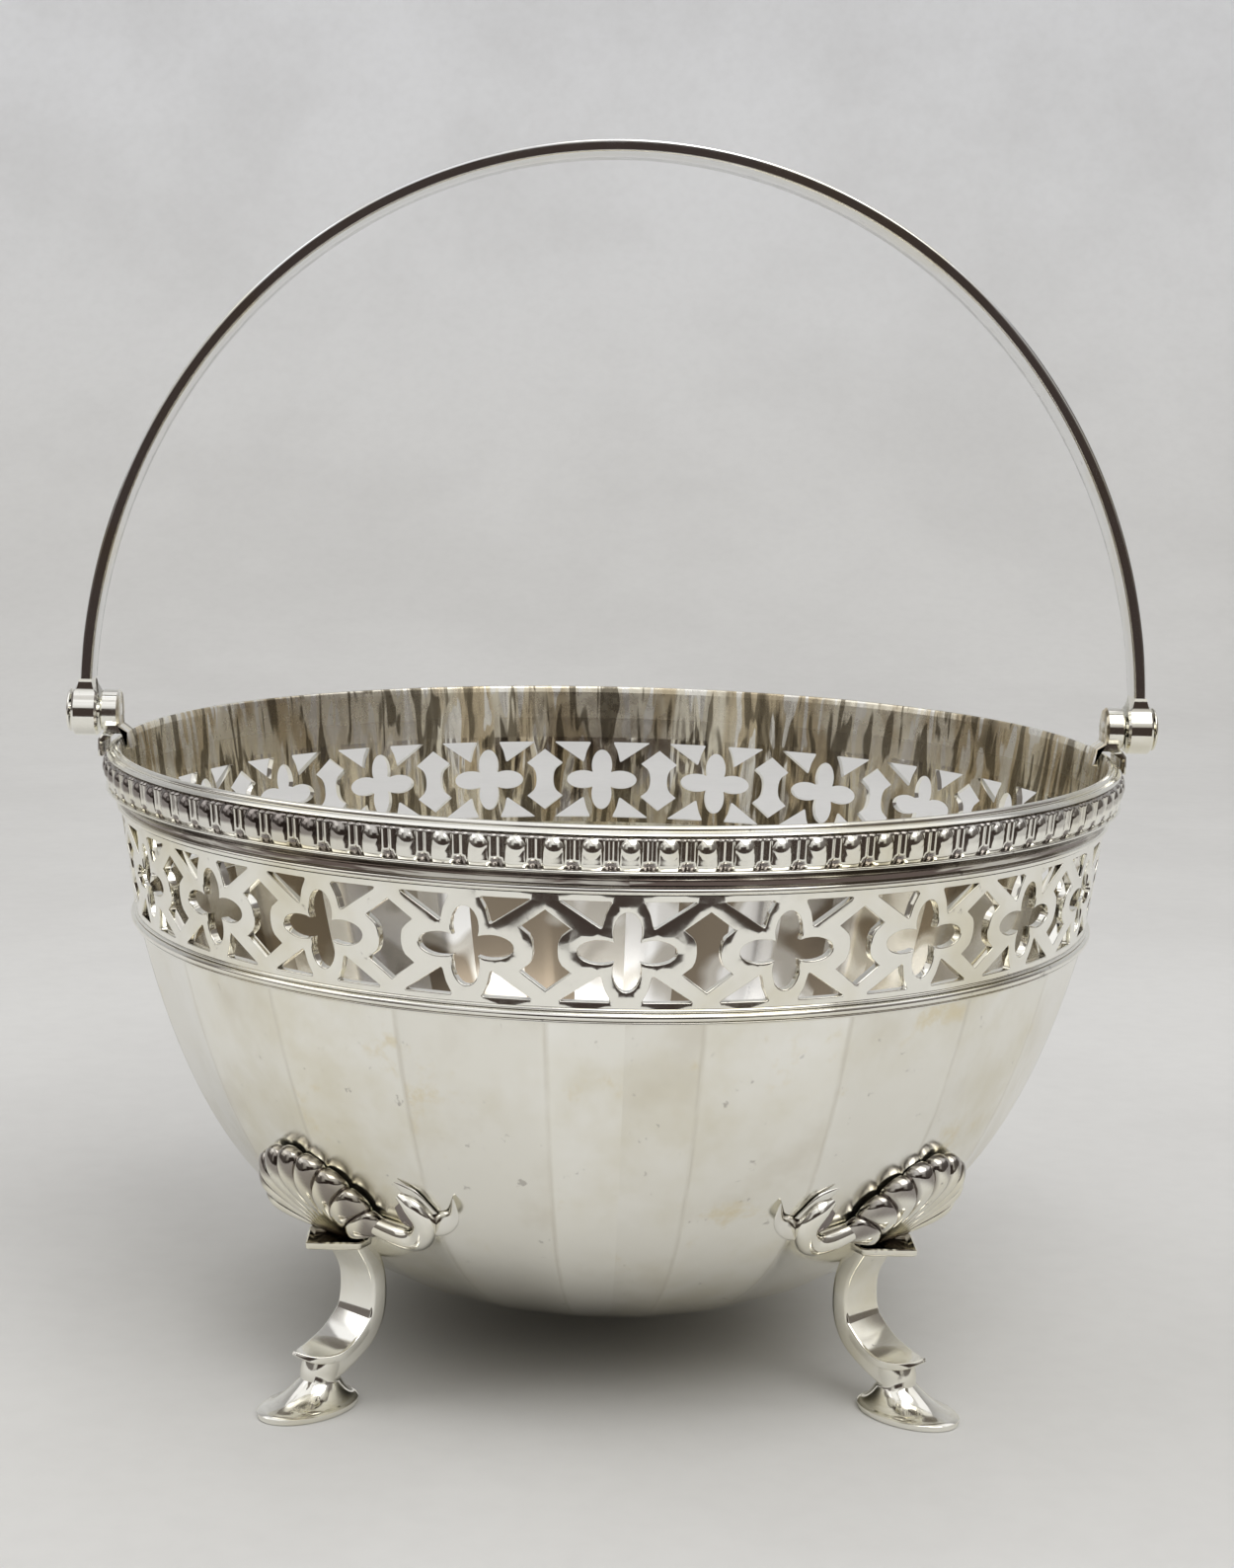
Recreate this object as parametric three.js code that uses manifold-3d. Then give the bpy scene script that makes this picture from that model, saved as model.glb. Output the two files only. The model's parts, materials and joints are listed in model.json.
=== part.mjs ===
// A small silver basket for sweets: a panelled bowl on four cast shell feet, a pierced
// band under a bead and reel border, and a flat swing handle on two rim hinges.
//
// Millimetres, +Z up. The basket stands on z = 0, its axis is the z axis, its front
// looks along -Y, and the hinge axis of the handle runs along X.

import * as THREE from 'three';
import * as BufferGeometryUtils from 'three/addons/utils/BufferGeometryUtils.js';
import Module from 'manifold-3d';

const wasm = await Module();
wasm.setup();

// Driving dimensions.

const CLEARANCE = 0.3; // left between pieces that rest on each other
const RUNNING_CLEARANCE = 0.08; // between a hinge pin and its bore

// Bowl: its creases and the cells of the band share one count
const PANELS = 22;
const BOWL_LIFT = 4.2; // underside of the bowl above the table
const BOWL_DEPTH = 48.8;
const BOWL_WALL = 0.9;
const WALL_SLOPE = 0.25; // inward lean at the top of the bowl's wall
const WALL_PULL = 28.5; // how far the wall keeps its lean
const BASE_PULL = 40; // how far the base stays flat
const OUTER_STEPS = 9;
const INNER_STEPS = 6;

// Band: a cone of sheet, measured on its outside at its foot
const BAND_FOOT_RADIUS = 60.2;
const BAND_FLARE = 0.14; // growth of the radius for each millimetre of height
const BAND_HEIGHT = 12.6;
const BAND_SHEET = 1.0;

// Piercing, measured along the band from the middle of a quatrefoil
const PIERCED_HEIGHT = 11.2;
const QUATREFOIL_WIDTH = 10.7;
const QUATREFOIL_HEIGHT = 8.9;
const SIDE_LOBE_WIDTH = 2.7;
const UPPER_LOBE_WIDTH = 3.1;
const CUSP_X = 1.4;
const CUSP_Z = 1.1;
const SPOOL_HEIGHT = 8.9;
const SPOOL_WIDTH = 5.5;
const SPOOL_WAIST = 2.5;
const SPOOL_SHOULDER = 4.5; // height between the upper and lower shoulders
const SPANDREL_INNER = 1.6; // near corner of a spandrel opening
const SPANDREL_OUTER = 7.3; // far corner
const SPANDREL_TIP_X = 2.8; // corner that points at the middle
const SPANDREL_TIP_Z = 2.8;
const SPANDREL_HOLLOW = 0.35; // how far its curved side is drawn in

// Rings stacked on the bowl and the band
const WIRE_HEIGHT = 1.8;
const WIRE_BEAD = 0.5; // radius of the reed on the joint wire
const WIRE_PROUD = 0.2; // its flat edges outside the band
const MOULDING_HEIGHT = 2.9;
const MOULDING_REED = 0.35;
const BORDER_HEIGHT = 3.8;
const BORDER_UNITS = 99; // beads round the border
const BORDER_PROUD = 1.8; // crown of a bead outside the band
const BEAD_RELIEF = 0.55; // depth of the hollow between two beads
const BEAD_SHARE = 0.62; // share of a unit taken by its bead
const LIP_HEIGHT = 0.9;
const LIP_BEAD = 0.4;
const LIP_BEAD_START = -20; // degrees over which the bead of the lip is round
const LIP_BEAD_END = 130;
const RING_SEGMENTS = 40;

// Hinges
const PIVOT_RISE = 3.0; // hinge axis above the lip
const HINGE_OUTSET = 0.8; // outer face of the lug outside the border
const LUG_KNUCKLE_LENGTH = 2.4;
const LUG_KNUCKLE_RADIUS = 2.7;
const LUG_NECK_WIDTH = 4.4;
const LUG_SADDLE_WIDTH = 7.4;
const LUG_TONGUE = 1.6; // how far its inner tongue reaches below the lip
const LUG_APRON = 2.4; // how far its outer apron reaches below the lip
const LUG_TONGUE_THICKNESS = 0.8;
const HANDLE_KNUCKLE_LENGTH = 3.2;
const HANDLE_KNUCKLE_RADIUS = 3.2;
const PIN_RADIUS = 1.0;
const PIN_HEAD_RADIUS = 2.8;
const PIN_HEAD_HEIGHT = 0.6;
const ROUND_SEGMENTS = 14;

// Handle strap, an arch of half an ellipse
const HANDLE_RISE = 71.6; // its top above the hinge axis
const STRAP_THICKNESS = 1.5;
const STRAP_END_WIDTH = 4.4;
const STRAP_TOP_WIDTH = 13.8;
const STRAP_SWELL = 1.4; // exponent of the growth in width
const STRAP_EDGE = 0.4; // chamfer along its edges
const NECK_HEIGHT = 4.2; // foot of the strap above the hinge axis
const NECK_ANGLE = 0.75; // where the neck leaves the eye, in radians above level
const NECK_WAIST = 0.85; // share of the strap's foot left at the neck's waist
const STRAP_STEPS = 18;

// Feet: u runs outwards from the axis, t across the foot
// The last number is the side of the foot's scroll, which looks to the middle of the front or back
const FEET = {
  front_left: [225, 1],
  front_right: [315, -1],
  rear_right: [45, 1],
  rear_left: [135, -1],
};
const LEDGE_Z = 19.5; // the sizes named OUT start from the bowl's radius at this height
const LEDGE_THICKNESS = 0.9;
const LEDGE_OUT = 7.0;
const LEDGE_HALF_WIDTH = 4.5;
const PAD_OUT = 6.5; // middle of the pad
const PAD_LENGTH = 13.6;
const PAD_WIDTH = 9.0;
const PAD_EDGE = 0.9;
const ANKLE_RADIUS = 2.35;
const ANKLE_OUT = 4.7;
const ANKLE_Z = 3.5;
const LEG_INSET = 0.9; // outer face of the leg inside the bowl's radius at the ledge
const LEG_WIDTH = 6.2;
const LEG_THICKNESS = 2.3;
const LEG_LEAN = 2.6; // how far its top and its foot sweep outwards
const SPUR_OUT = 8.7; // tip of the spur over the hoof
const SPUR_Z = 7.3;
const SPUR_CLIMB = 3.6; // how far its root climbs the leg
const SPUR_SAG = 0.9; // how far its middle hangs under its tip
const SPUR_THICKNESS = 1.2;
const SHELL_LOBES = 9;
const SHELL_FOOT = 2.2; // half its width on the ledge
const SHELL_RADIUS = 10.3; // of the arc through the heads of the lobes
const SHELL_ARC = 88; // degrees of that arc on each side of the middle
const SHELL_CENTRE = 2.9; // middle of that arc above the ledge
const SHELL_RELIEF = 0.9; // height of a lobe over the valleys
const SHELL_STAND = 1.0; // valleys outside the bowl
const SHELL_SWELL = 1.6; // how much further out they stand halfway up
const EAR_OFFSET = 14.6; // middle of the side scroll across the foot
const EAR_Z = 26.4;
const EAR_WIDTH = 6.6;
const EAR_HEIGHT = 9.0;
const EAR_TUBE = 1.3;

// Places worked out from the sizes.

const BOWL_TOP_Z = BOWL_LIFT + BOWL_DEPTH;
const BAND_Z = BOWL_TOP_Z + WIRE_HEIGHT;
const MOULDING_Z = BAND_Z + BAND_HEIGHT;
const BORDER_Z = MOULDING_Z + MOULDING_HEIGHT;
const LIP_Z = BORDER_Z + BORDER_HEIGHT;
const LIP_TOP_Z = LIP_Z + LIP_HEIGHT;
const PIVOT_Z = LIP_TOP_Z + PIVOT_RISE;

const bandOuter = (z) => BAND_FOOT_RADIUS + BAND_FLARE * (z - BAND_Z);
const bandInner = (z) => bandOuter(z) - BAND_SHEET;

const BORDER_RADIUS = bandOuter(BORDER_Z) + BORDER_PROUD;
const LUG_FACE_X = BORDER_RADIUS + HINGE_OUTSET;
const KNUCKLE_X = LUG_FACE_X + CLEARANCE;
const PIN_HEAD_X = KNUCKLE_X + HANDLE_KNUCKLE_LENGTH + CLEARANCE;
const BORE_RADIUS = PIN_RADIUS + RUNNING_CLEARANCE;

const silver = (roughness) =>
  new THREE.MeshStandardMaterial({ color: 0xd7d3c8, metalness: 1, roughness });
const POLISHED = silver(0.12);
const CAST = silver(0.2);

const part = new THREE.Group();

function add(name, geometry, material = POLISHED) {
  const mesh = new THREE.Mesh(geometry, material);
  mesh.name = name;
  part.add(mesh);
  return mesh;
}

// Keeps positions only, joins equal points and drops triangles that shrink to a line
function weld(geometry) {
  const bare = new THREE.BufferGeometry();
  bare.setAttribute('position', geometry.getAttribute('position'));
  bare.setIndex(geometry.getIndex());
  const merged = BufferGeometryUtils.mergeVertices(bare, 1e-4);
  const index = Array.from(merged.getIndex().array);
  const kept = [];
  for (let i = 0; i < index.length; i += 3) {
    const [a, b, c] = index.slice(i, i + 3);
    if (a !== b && b !== c && c !== a) kept.push(a, b, c);
  }
  merged.setIndex(kept);
  return merged;
}

function toSolid(geometry) {
  const welded = weld(geometry);
  return new wasm.Manifold(
    new wasm.Mesh({
      numProp: 3,
      vertProperties: new Float32Array(welded.getAttribute('position').array),
      triVerts: new Uint32Array(welded.getIndex().array),
    })
  );
}

function toGeometry(solid) {
  const mesh = solid.getMesh();
  const geometry = new THREE.BufferGeometry();
  geometry.setAttribute('position', new THREE.BufferAttribute(mesh.vertProperties, 3));
  geometry.setIndex(new THREE.BufferAttribute(mesh.triVerts, 1));
  return geometry;
}

// Turns a closed outline of [radius, z] points, anticlockwise, about the z axis
function ring(outline, segments = RING_SEGMENTS, phase = 0) {
  const points = [...outline, outline[0]].map(([r, z]) => new THREE.Vector2(r, z));
  return weld(new THREE.LatheGeometry(points, segments, phase).rotateX(Math.PI / 2));
}

// Skins a row of rings of points, each anticlockwise when seen from the last ring
function loft(rings) {
  const count = rings[0].length;
  const positions = rings.flat().flatMap((p) => [p.x, p.y, p.z]);
  const index = [];
  for (let k = 0; k + 1 < rings.length; k += 1) {
    for (let i = 0; i < count; i += 1) {
      const j = (i + 1) % count;
      const [a, b, c, d] = [k * count + i, k * count + j, (k + 1) * count + j, (k + 1) * count + i];
      index.push(a, b, c, a, c, d);
    }
  }
  const last = (rings.length - 1) * count;
  for (let i = 1; i + 1 < count; i += 1) {
    index.push(0, i + 1, i);
    index.push(last, last + i, last + i + 1);
  }
  const geometry = new THREE.BufferGeometry();
  geometry.setAttribute('position', new THREE.Float32BufferAttribute(positions, 3));
  geometry.setIndex(index);
  return weld(geometry);
}

// A flat outline of [x, z] points, anticlockwise seen from the front, given a width along y
function plate(outline, width) {
  const shape = new THREE.Shape(outline.map(([x, z]) => new THREE.Vector2(x, z)));
  const geometry = new THREE.ExtrudeGeometry(shape, { depth: width, bevelEnabled: false });
  return geometry.translate(0, 0, -width / 2).rotateX(Math.PI / 2);
}

// A round bar along x between two planes
function barAlongX(radius, from, to) {
  const bar = new THREE.CylinderGeometry(radius, radius, to - from, ROUND_SEGMENTS);
  return bar.rotateZ(-Math.PI / 2).translate((from + to) / 2, 0, 0);
}

// Bowl shell: the same curve outside and, moved in by the wall, inside.

function bowlCurve(offset, steps = OUTER_STEPS) {
  const top = bandOuter(BOWL_TOP_Z) + offset;
  const bottom = BOWL_LIFT - offset;
  return new THREE.CubicBezierCurve(
    new THREE.Vector2(0, bottom),
    new THREE.Vector2(BASE_PULL, bottom),
    new THREE.Vector2(top - WALL_SLOPE * WALL_PULL, BOWL_TOP_Z - WALL_PULL),
    new THREE.Vector2(top, BOWL_TOP_Z)
  ).getPoints(steps);
}

const CREASE_PHASE = Math.PI / PANELS;

function bowlShell() {
  const profile = [...bowlCurve(0), ...bowlCurve(-BOWL_WALL, INNER_STEPS).reverse()];
  const shell = new THREE.LatheGeometry(profile, PANELS, CREASE_PHASE);
  return weld(shell.rotateX(Math.PI / 2));
}

// The bowl's outside, filled and grown by the clearance, for fitting the feet to it
function bowlForm() {
  const top = new THREE.Vector2(0, BOWL_TOP_Z);
  const profile = [...bowlCurve(CLEARANCE), top];
  return new THREE.LatheGeometry(profile, PANELS, CREASE_PHASE).rotateX(Math.PI / 2);
}

// Radius of the bowl's outside at a height, read from its curve
function bowlRadius(z) {
  const curve = bowlCurve(0);
  const next = curve.findIndex((p) => p.y >= z);
  const [low, high] = [curve[Math.max(next - 1, 0)], curve[next]];
  return THREE.MathUtils.mapLinear(z, low.y, high.y, low.x, high.x);
}

// Pierced band: one flat cell, copied round and bent onto the cone. A cell runs from the
// middle of one spool opening to the middle of the next.

const CELL_ANGLE = (2 * Math.PI) / PANELS;
const CELL_WIDTH = CELL_ANGLE * bandOuter(BAND_Z + BAND_HEIGHT / 2);
const QUATREFOIL_STEPS = 4;
const WAIST_STEPS = 2;
const RAIL_STEPS = 2;
const RAIL_BOW = 0.0005; // bows the cell while its faces are laid out, so every rail point is used

// Points of one lobe from cusp to cusp, along +x: an ellipse through both cusps
function lobe(tip, width, cuspAlong, cuspAcross) {
  const half = width / 2;
  const rise = Math.sqrt(1 - (cuspAcross / half) ** 2);
  const reach = (tip - cuspAlong) / (1 + rise);
  const start = Math.PI - Math.asin(cuspAcross / half);
  return Array.from({ length: QUATREFOIL_STEPS }, (_, i) => {
    const angle = -start + (2 * start * i) / QUATREFOIL_STEPS;
    return [tip - reach + reach * Math.cos(angle), half * Math.sin(angle)];
  });
}

function quatrefoil() {
  const side = lobe(QUATREFOIL_WIDTH / 2, SIDE_LOBE_WIDTH, CUSP_X, CUSP_Z);
  const upper = lobe(QUATREFOIL_HEIGHT / 2, UPPER_LOBE_WIDTH, CUSP_Z, CUSP_X);
  return [
    ...side,
    ...upper.map(([a, b]) => [-b, a]),
    ...side.map(([a, b]) => [-a, -b]),
    ...upper.map(([a, b]) => [b, -a]),
  ];
}

// The opening between a quatrefoil and the rail, in one quarter of the cell
function spandrel(signX, signZ) {
  const edge = PIERCED_HEIGHT / 2;
  const hollowX = (SPANDREL_INNER + SPANDREL_TIP_X) / 2 + SPANDREL_HOLLOW;
  const hollowZ = (edge + SPANDREL_TIP_Z) / 2;
  const corners = [
    [SPANDREL_INNER, edge],
    [hollowX, hollowZ],
    [SPANDREL_TIP_X, SPANDREL_TIP_Z],
    [SPANDREL_OUTER, edge],
  ];
  const placed = corners.map(([x, z]) => [signX * x, signZ * z]);
  return signX * signZ > 0 ? placed.reverse() : placed;
}

// The right edge of a cell from the lower rail to the upper one, round half a spool
function spoolEdge() {
  const middle = CELL_WIDTH / 2;
  const shoulder = SPOOL_SHOULDER / 2;
  const sides = Array.from({ length: WAIST_STEPS + 1 }, (_, i) => {
    const along = (2 * i) / WAIST_STEPS - 1;
    const pinch = (SPOOL_WIDTH - SPOOL_WAIST) * (1 - along * along);
    return [middle - (SPOOL_WIDTH - pinch) / 2, along * shoulder];
  });
  return [[middle, -SPOOL_HEIGHT / 2], ...sides, [middle, SPOOL_HEIGHT / 2]];
}

function rail(z, direction) {
  return Array.from({ length: RAIL_STEPS + 1 }, (_, i) => [
    direction * CELL_WIDTH * (i / RAIL_STEPS - 0.5),
    z,
  ]);
}

function pierced() {
  const half = BAND_HEIGHT / 2;
  const right = spoolEdge();
  const left = right.map(([x, z]) => [-x, z]).reverse();
  const outline = [...rail(-half, 1), ...right, ...rail(half, -1), ...left];
  const holes = [quatrefoil().reverse()];
  for (const signX of [1, -1]) {
    for (const signZ of [1, -1]) holes.push(spandrel(signX, signZ));
  }
  const loops = [outline, ...holes];
  const flat = loops.flat();
  const bowed = ([x, z]) => new THREE.Vector2(x, z * (1 - RAIL_BOW * x * x));
  const vectors = loops.map((points) => points.map(bowed));
  const faces = THREE.ShapeUtils.triangulateShape(vectors[0], vectors.slice(1));

  const middleZ = BAND_Z + half;
  const onCone = ([x, z], inward, cell) => {
    const angle = cell * CELL_ANGLE + (x / CELL_WIDTH) * CELL_ANGLE;
    const radius = bandOuter(middleZ + z) - inward;
    return [radius * Math.sin(angle), -radius * Math.cos(angle), middleZ + z];
  };
  const onCellEdge = (p) => Math.abs(Math.abs(p[0]) - CELL_WIDTH / 2) < 1e-9;

  const positions = [];
  const index = [];
  const count = flat.length;
  for (let cell = 0; cell < PANELS; cell += 1) {
    const outside = cell * 2 * count;
    const inside = outside + count;
    for (const inward of [0, BAND_SHEET]) {
      for (const point of flat) positions.push(...onCone(point, inward, cell));
    }
    for (const [a, b, c] of faces) {
      index.push(outside + a, outside + b, outside + c);
      index.push(inside + a, inside + c, inside + b);
    }
    let first = 0;
    for (const loop of loops) {
      loop.forEach((point, i) => {
        const next = (i + 1) % loop.length;
        if (onCellEdge(point) && onCellEdge(loop[next])) return;
        const [a, b] = [first + i, first + next];
        index.push(outside + b, outside + a, inside + a);
        index.push(outside + b, inside + a, inside + b);
      });
      first += loop.length;
    }
  }
  const geometry = new THREE.BufferGeometry();
  geometry.setAttribute('position', new THREE.Float32BufferAttribute(positions, 3));
  geometry.setIndex(index);
  return weld(geometry);
}

// Rings. Each outline runs down the flush inside, out along the seat and up the outside.

function roundEdge(radius, z, size, steps = 3) {
  return Array.from({ length: steps + 1 }, (_, i) => {
    const angle = -Math.PI / 2 + (Math.PI * i) / steps;
    return [radius + size * Math.cos(angle), z + size * Math.sin(angle)];
  });
}

function waistWire() {
  const top = BAND_Z;
  const edge = bandOuter(BAND_Z) + WIRE_PROUD;
  return ring([
    [bandInner(BOWL_TOP_Z), BOWL_TOP_Z],
    [edge, BOWL_TOP_Z],
    ...roundEdge(edge, (BOWL_TOP_Z + top) / 2, WIRE_BEAD),
    [edge, top],
    [bandInner(top), top],
  ]);
}

function rimMoulding() {
  const seat = bandOuter(MOULDING_Z);
  const reedZ = MOULDING_Z + MOULDING_REED + 0.15;
  const flare = BORDER_RADIUS - BEAD_RELIEF - seat;
  const hollowFoot = reedZ + 2 * MOULDING_REED;
  const hollow = [0, 0.5, 1].map((share) => [
    seat + flare * share ** 2.2,
    THREE.MathUtils.lerp(hollowFoot, BORDER_Z, share),
  ]);
  return ring([
    [bandInner(MOULDING_Z), MOULDING_Z],
    [seat, MOULDING_Z],
    ...roundEdge(seat, reedZ, MOULDING_REED),
    ...hollow,
    [bandInner(BORDER_Z), BORDER_Z],
  ]);
}

// Border: the outline swells over each bead and falls back between beads

function gadroonBorder() {
  const bulge = [
    [0.0, 0.1],
    [0.42, 1.0],
    [1.0, 0.1],
  ];
  const valley = BORDER_RADIUS - BEAD_RELIEF;
  const steps = [0, BEAD_SHARE / 2, BEAD_SHARE];
  const swell = [0, 1, 0];
  const rings = [];
  for (let unit = 0; unit < BORDER_UNITS; unit += 1) {
    steps.forEach((step, k) => {
      const angle = (2 * Math.PI * (unit + step)) / BORDER_UNITS;
      const outer = bulge.map(([height, share]) => [
        valley + BEAD_RELIEF * (share * swell[k] - 0.2 * (1 - share)),
        BORDER_Z + BORDER_HEIGHT * height,
      ]);
      const section = [
        [bandInner(BORDER_Z), BORDER_Z],
        ...outer,
        [bandInner(LIP_Z), LIP_Z],
      ];
      rings.push(
        section.map(([r, z]) => new THREE.Vector3(r * Math.cos(angle), r * Math.sin(angle), z))
      );
    });
  }
  return closedLoft(rings);
}

// Skins rings of points that follow each other all the way round
function closedLoft(rings) {
  const count = rings[0].length;
  const index = [];
  rings.forEach((_, k) => {
    const next = (k + 1) % rings.length;
    for (let i = 0; i < count; i += 1) {
      const j = (i + 1) % count;
      const [a, b, c, d] = [k * count + i, k * count + j, next * count + j, next * count + i];
      index.push(a, c, b, a, d, c);
    }
  });
  const geometry = new THREE.BufferGeometry();
  const positions = rings.flat().flatMap((p) => [p.x, p.y, p.z]);
  geometry.setAttribute('position', new THREE.Float32BufferAttribute(positions, 3));
  geometry.setIndex(index);
  return geometry;
}

function rimLip() {
  const inner = bandInner(LIP_TOP_Z);
  const beadRadius = inner + LIP_BEAD;
  const beadZ = LIP_TOP_Z - LIP_BEAD;
  const bead = [0, 1 / 3, 2 / 3, 1].map((share) => {
    const degrees = THREE.MathUtils.lerp(LIP_BEAD_START, LIP_BEAD_END, share);
    const angle = THREE.MathUtils.degToRad(degrees);
    return [beadRadius + LIP_BEAD * Math.cos(angle), beadZ + LIP_BEAD * Math.sin(angle)];
  });
  return ring([
    [bandInner(LIP_Z), LIP_Z],
    [BORDER_RADIUS - BEAD_RELIEF, LIP_Z],
    [beadRadius + LIP_BEAD + 0.1, beadZ - LIP_BEAD * 0.35],
    ...bead,
    [bandInner(beadZ), beadZ],
  ]);
}

// Hinge lug, on the right: a knuckle on a neck that straddles the lip with an inner
// tongue and an outer apron.

function hingeLug() {
  const lipInner = bandInner(LIP_TOP_Z) - CLEARANCE;
  const lipTop = LIP_TOP_Z + CLEARANCE;
  const borderOuter = BORDER_RADIUS + CLEARANCE;
  const tongueInner = lipInner - LUG_TONGUE_THICKNESS;
  const knuckleInner = LUG_FACE_X - LUG_KNUCKLE_LENGTH;
  const body = [
    [tongueInner, LIP_TOP_Z - LUG_TONGUE],
    [lipInner, LIP_TOP_Z - LUG_TONGUE],
    [lipInner, lipTop],
    [bandOuter(LIP_TOP_Z) + CLEARANCE, lipTop],
    [borderOuter, LIP_Z + CLEARANCE],
    [borderOuter, LIP_Z],
    [borderOuter, LIP_TOP_Z - LUG_APRON],
    [LUG_FACE_X, LIP_TOP_Z - LUG_APRON],
    [LUG_FACE_X, LIP_TOP_Z],
    [LUG_FACE_X - 0.5, LIP_TOP_Z + 0.8],
    [LUG_FACE_X - 0.2, PIVOT_Z],
    [knuckleInner, PIVOT_Z],
    [tongueInner + 0.3, LIP_TOP_Z + 0.6],
  ];
  const saddle = [
    [bandOuter(LIP_TOP_Z) + CLEARANCE, lipTop],
    [borderOuter, LIP_Z + CLEARANCE],
    [borderOuter, LIP_Z],
    [borderOuter, LIP_TOP_Z - LUG_APRON],
    [LUG_FACE_X, LIP_TOP_Z - LUG_APRON],
    [LUG_FACE_X, LIP_TOP_Z],
    [LUG_FACE_X - 0.6, lipTop + 0.3],
  ];
  const neck = toSolid(plate(body, LUG_NECK_WIDTH));
  const base = toSolid(plate(saddle, LUG_SADDLE_WIDTH));
  const knuckle = toSolid(
    barAlongX(LUG_KNUCKLE_RADIUS, knuckleInner, LUG_FACE_X).translate(0, 0, PIVOT_Z)
  );
  const bore = toSolid(
    barAlongX(BORE_RADIUS, knuckleInner - 1, LUG_FACE_X + 1).translate(0, 0, PIVOT_Z)
  );
  return toGeometry(neck.add(base).add(knuckle).subtract(bore));
}

// Handle knuckle, on the right: an eye with a waisted neck that carries the strap

function handleKnuckle() {
  const half = STRAP_END_WIDTH / 2;
  const radius = HANDLE_KNUCKLE_RADIUS;
  const [shoulderY, shoulderZ] = [radius * Math.cos(NECK_ANGLE), radius * Math.sin(NECK_ANGLE)];
  const waistZ = (shoulderZ + NECK_HEIGHT) / 2;
  const eye = new THREE.Shape();
  eye.moveTo(half, NECK_HEIGHT);
  eye.lineTo(-half, NECK_HEIGHT);
  eye.quadraticCurveTo(-half * NECK_WAIST, waistZ, -shoulderY, shoulderZ);
  eye.absarc(0, 0, radius, Math.PI - NECK_ANGLE, 2 * Math.PI + NECK_ANGLE, false);
  eye.quadraticCurveTo(half * NECK_WAIST, waistZ, half, NECK_HEIGHT);
  eye.holes.push(new THREE.Path().absarc(0, 0, BORE_RADIUS, 0, 2 * Math.PI, true));
  const solid = new THREE.ExtrudeGeometry(eye, {
    depth: HANDLE_KNUCKLE_LENGTH,
    bevelEnabled: false,
    curveSegments: ROUND_SEGMENTS / 2,
  });
  // the outline's height becomes z and the depth becomes x
  return weld(solid.rotateX(Math.PI / 2).rotateZ(Math.PI / 2).translate(KNUCKLE_X, 0, PIVOT_Z));
}

// Hinge pin, on the right: a shank through both knuckles and a domed head outside

function hingePin() {
  const shankEnd = LUG_FACE_X - LUG_KNUCKLE_LENGTH;
  const dome = [0.5, 0.75, 1].map((share) => [
    PIN_HEAD_RADIUS * Math.sqrt(1 - share ** 2),
    PIN_HEAD_X + PIN_HEAD_HEIGHT * share,
  ]);
  const profile = [
    [0, shankEnd],
    [PIN_RADIUS, shankEnd],
    [PIN_RADIUS, PIN_HEAD_X],
    [PIN_HEAD_RADIUS, PIN_HEAD_X],
    ...dome.slice(0, 2),
    [0, dome[2][1]],
  ].map(([r, along]) => new THREE.Vector2(r, along));
  const pin = new THREE.LatheGeometry(profile, ROUND_SEGMENTS);
  return weld(pin.rotateZ(-Math.PI / 2).translate(0, 0, PIVOT_Z));
}

// Handle strap: a flat section carried along half an ellipse

const STRAP_HALF_SPAN = KNUCKLE_X + HANDLE_KNUCKLE_LENGTH / 2; // middle of the strap's sheet
const STRAP_RISE = HANDLE_RISE - STRAP_THICKNESS / 2;
const STRAP_START = Math.asin(NECK_HEIGHT / STRAP_RISE);

function strapSection(angle) {
  const centre = new THREE.Vector3(
    STRAP_HALF_SPAN * Math.cos(angle),
    0,
    PIVOT_Z + STRAP_RISE * Math.sin(angle)
  );
  const outward = new THREE.Vector3(
    STRAP_RISE * Math.cos(angle),
    0,
    STRAP_HALF_SPAN * Math.sin(angle)
  ).normalize();
  const swell = Math.sin(angle) ** STRAP_SWELL;
  const half = THREE.MathUtils.lerp(STRAP_END_WIDTH, STRAP_TOP_WIDTH, swell) / 2;
  const depth = STRAP_THICKNESS / 2;
  const corners = [
    [half, depth - STRAP_EDGE],
    [half - STRAP_EDGE, depth],
    [-half + STRAP_EDGE, depth],
    [-half, depth - STRAP_EDGE],
    [-half, -depth + STRAP_EDGE],
    [-half + STRAP_EDGE, -depth],
    [half - STRAP_EDGE, -depth],
    [half, -depth + STRAP_EDGE],
  ];
  return corners.map(([across, out]) => {
    const point = centre.clone().addScaledVector(outward, out);
    return point.setY(across);
  });
}

function handleStrap() {
  const rings = Array.from({ length: STRAP_STEPS + 1 }, (_, i) => {
    const share = i / STRAP_STEPS;
    return strapSection(THREE.MathUtils.lerp(STRAP_START, Math.PI - STRAP_START, share)).reverse();
  });
  // both ends are cut level, where they stand on the knuckles
  for (const end of [rings[0], rings[STRAP_STEPS]]) {
    for (const point of end) point.setZ(PIVOT_Z + NECK_HEIGHT);
  }
  return loft(rings);
}

// Foot, built along +X: u is x and t is y.

const SEAT = bowlRadius(LEDGE_Z);
const PAD_CENTRE = SEAT + PAD_OUT;
const ANKLE_CENTRE = SEAT + ANKLE_OUT;
const LEG_FACE = SEAT - LEG_INSET;
const SPUR_REACH = SEAT + SPUR_OUT;
const LEDGE_REACH = SEAT + LEDGE_OUT;

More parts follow.
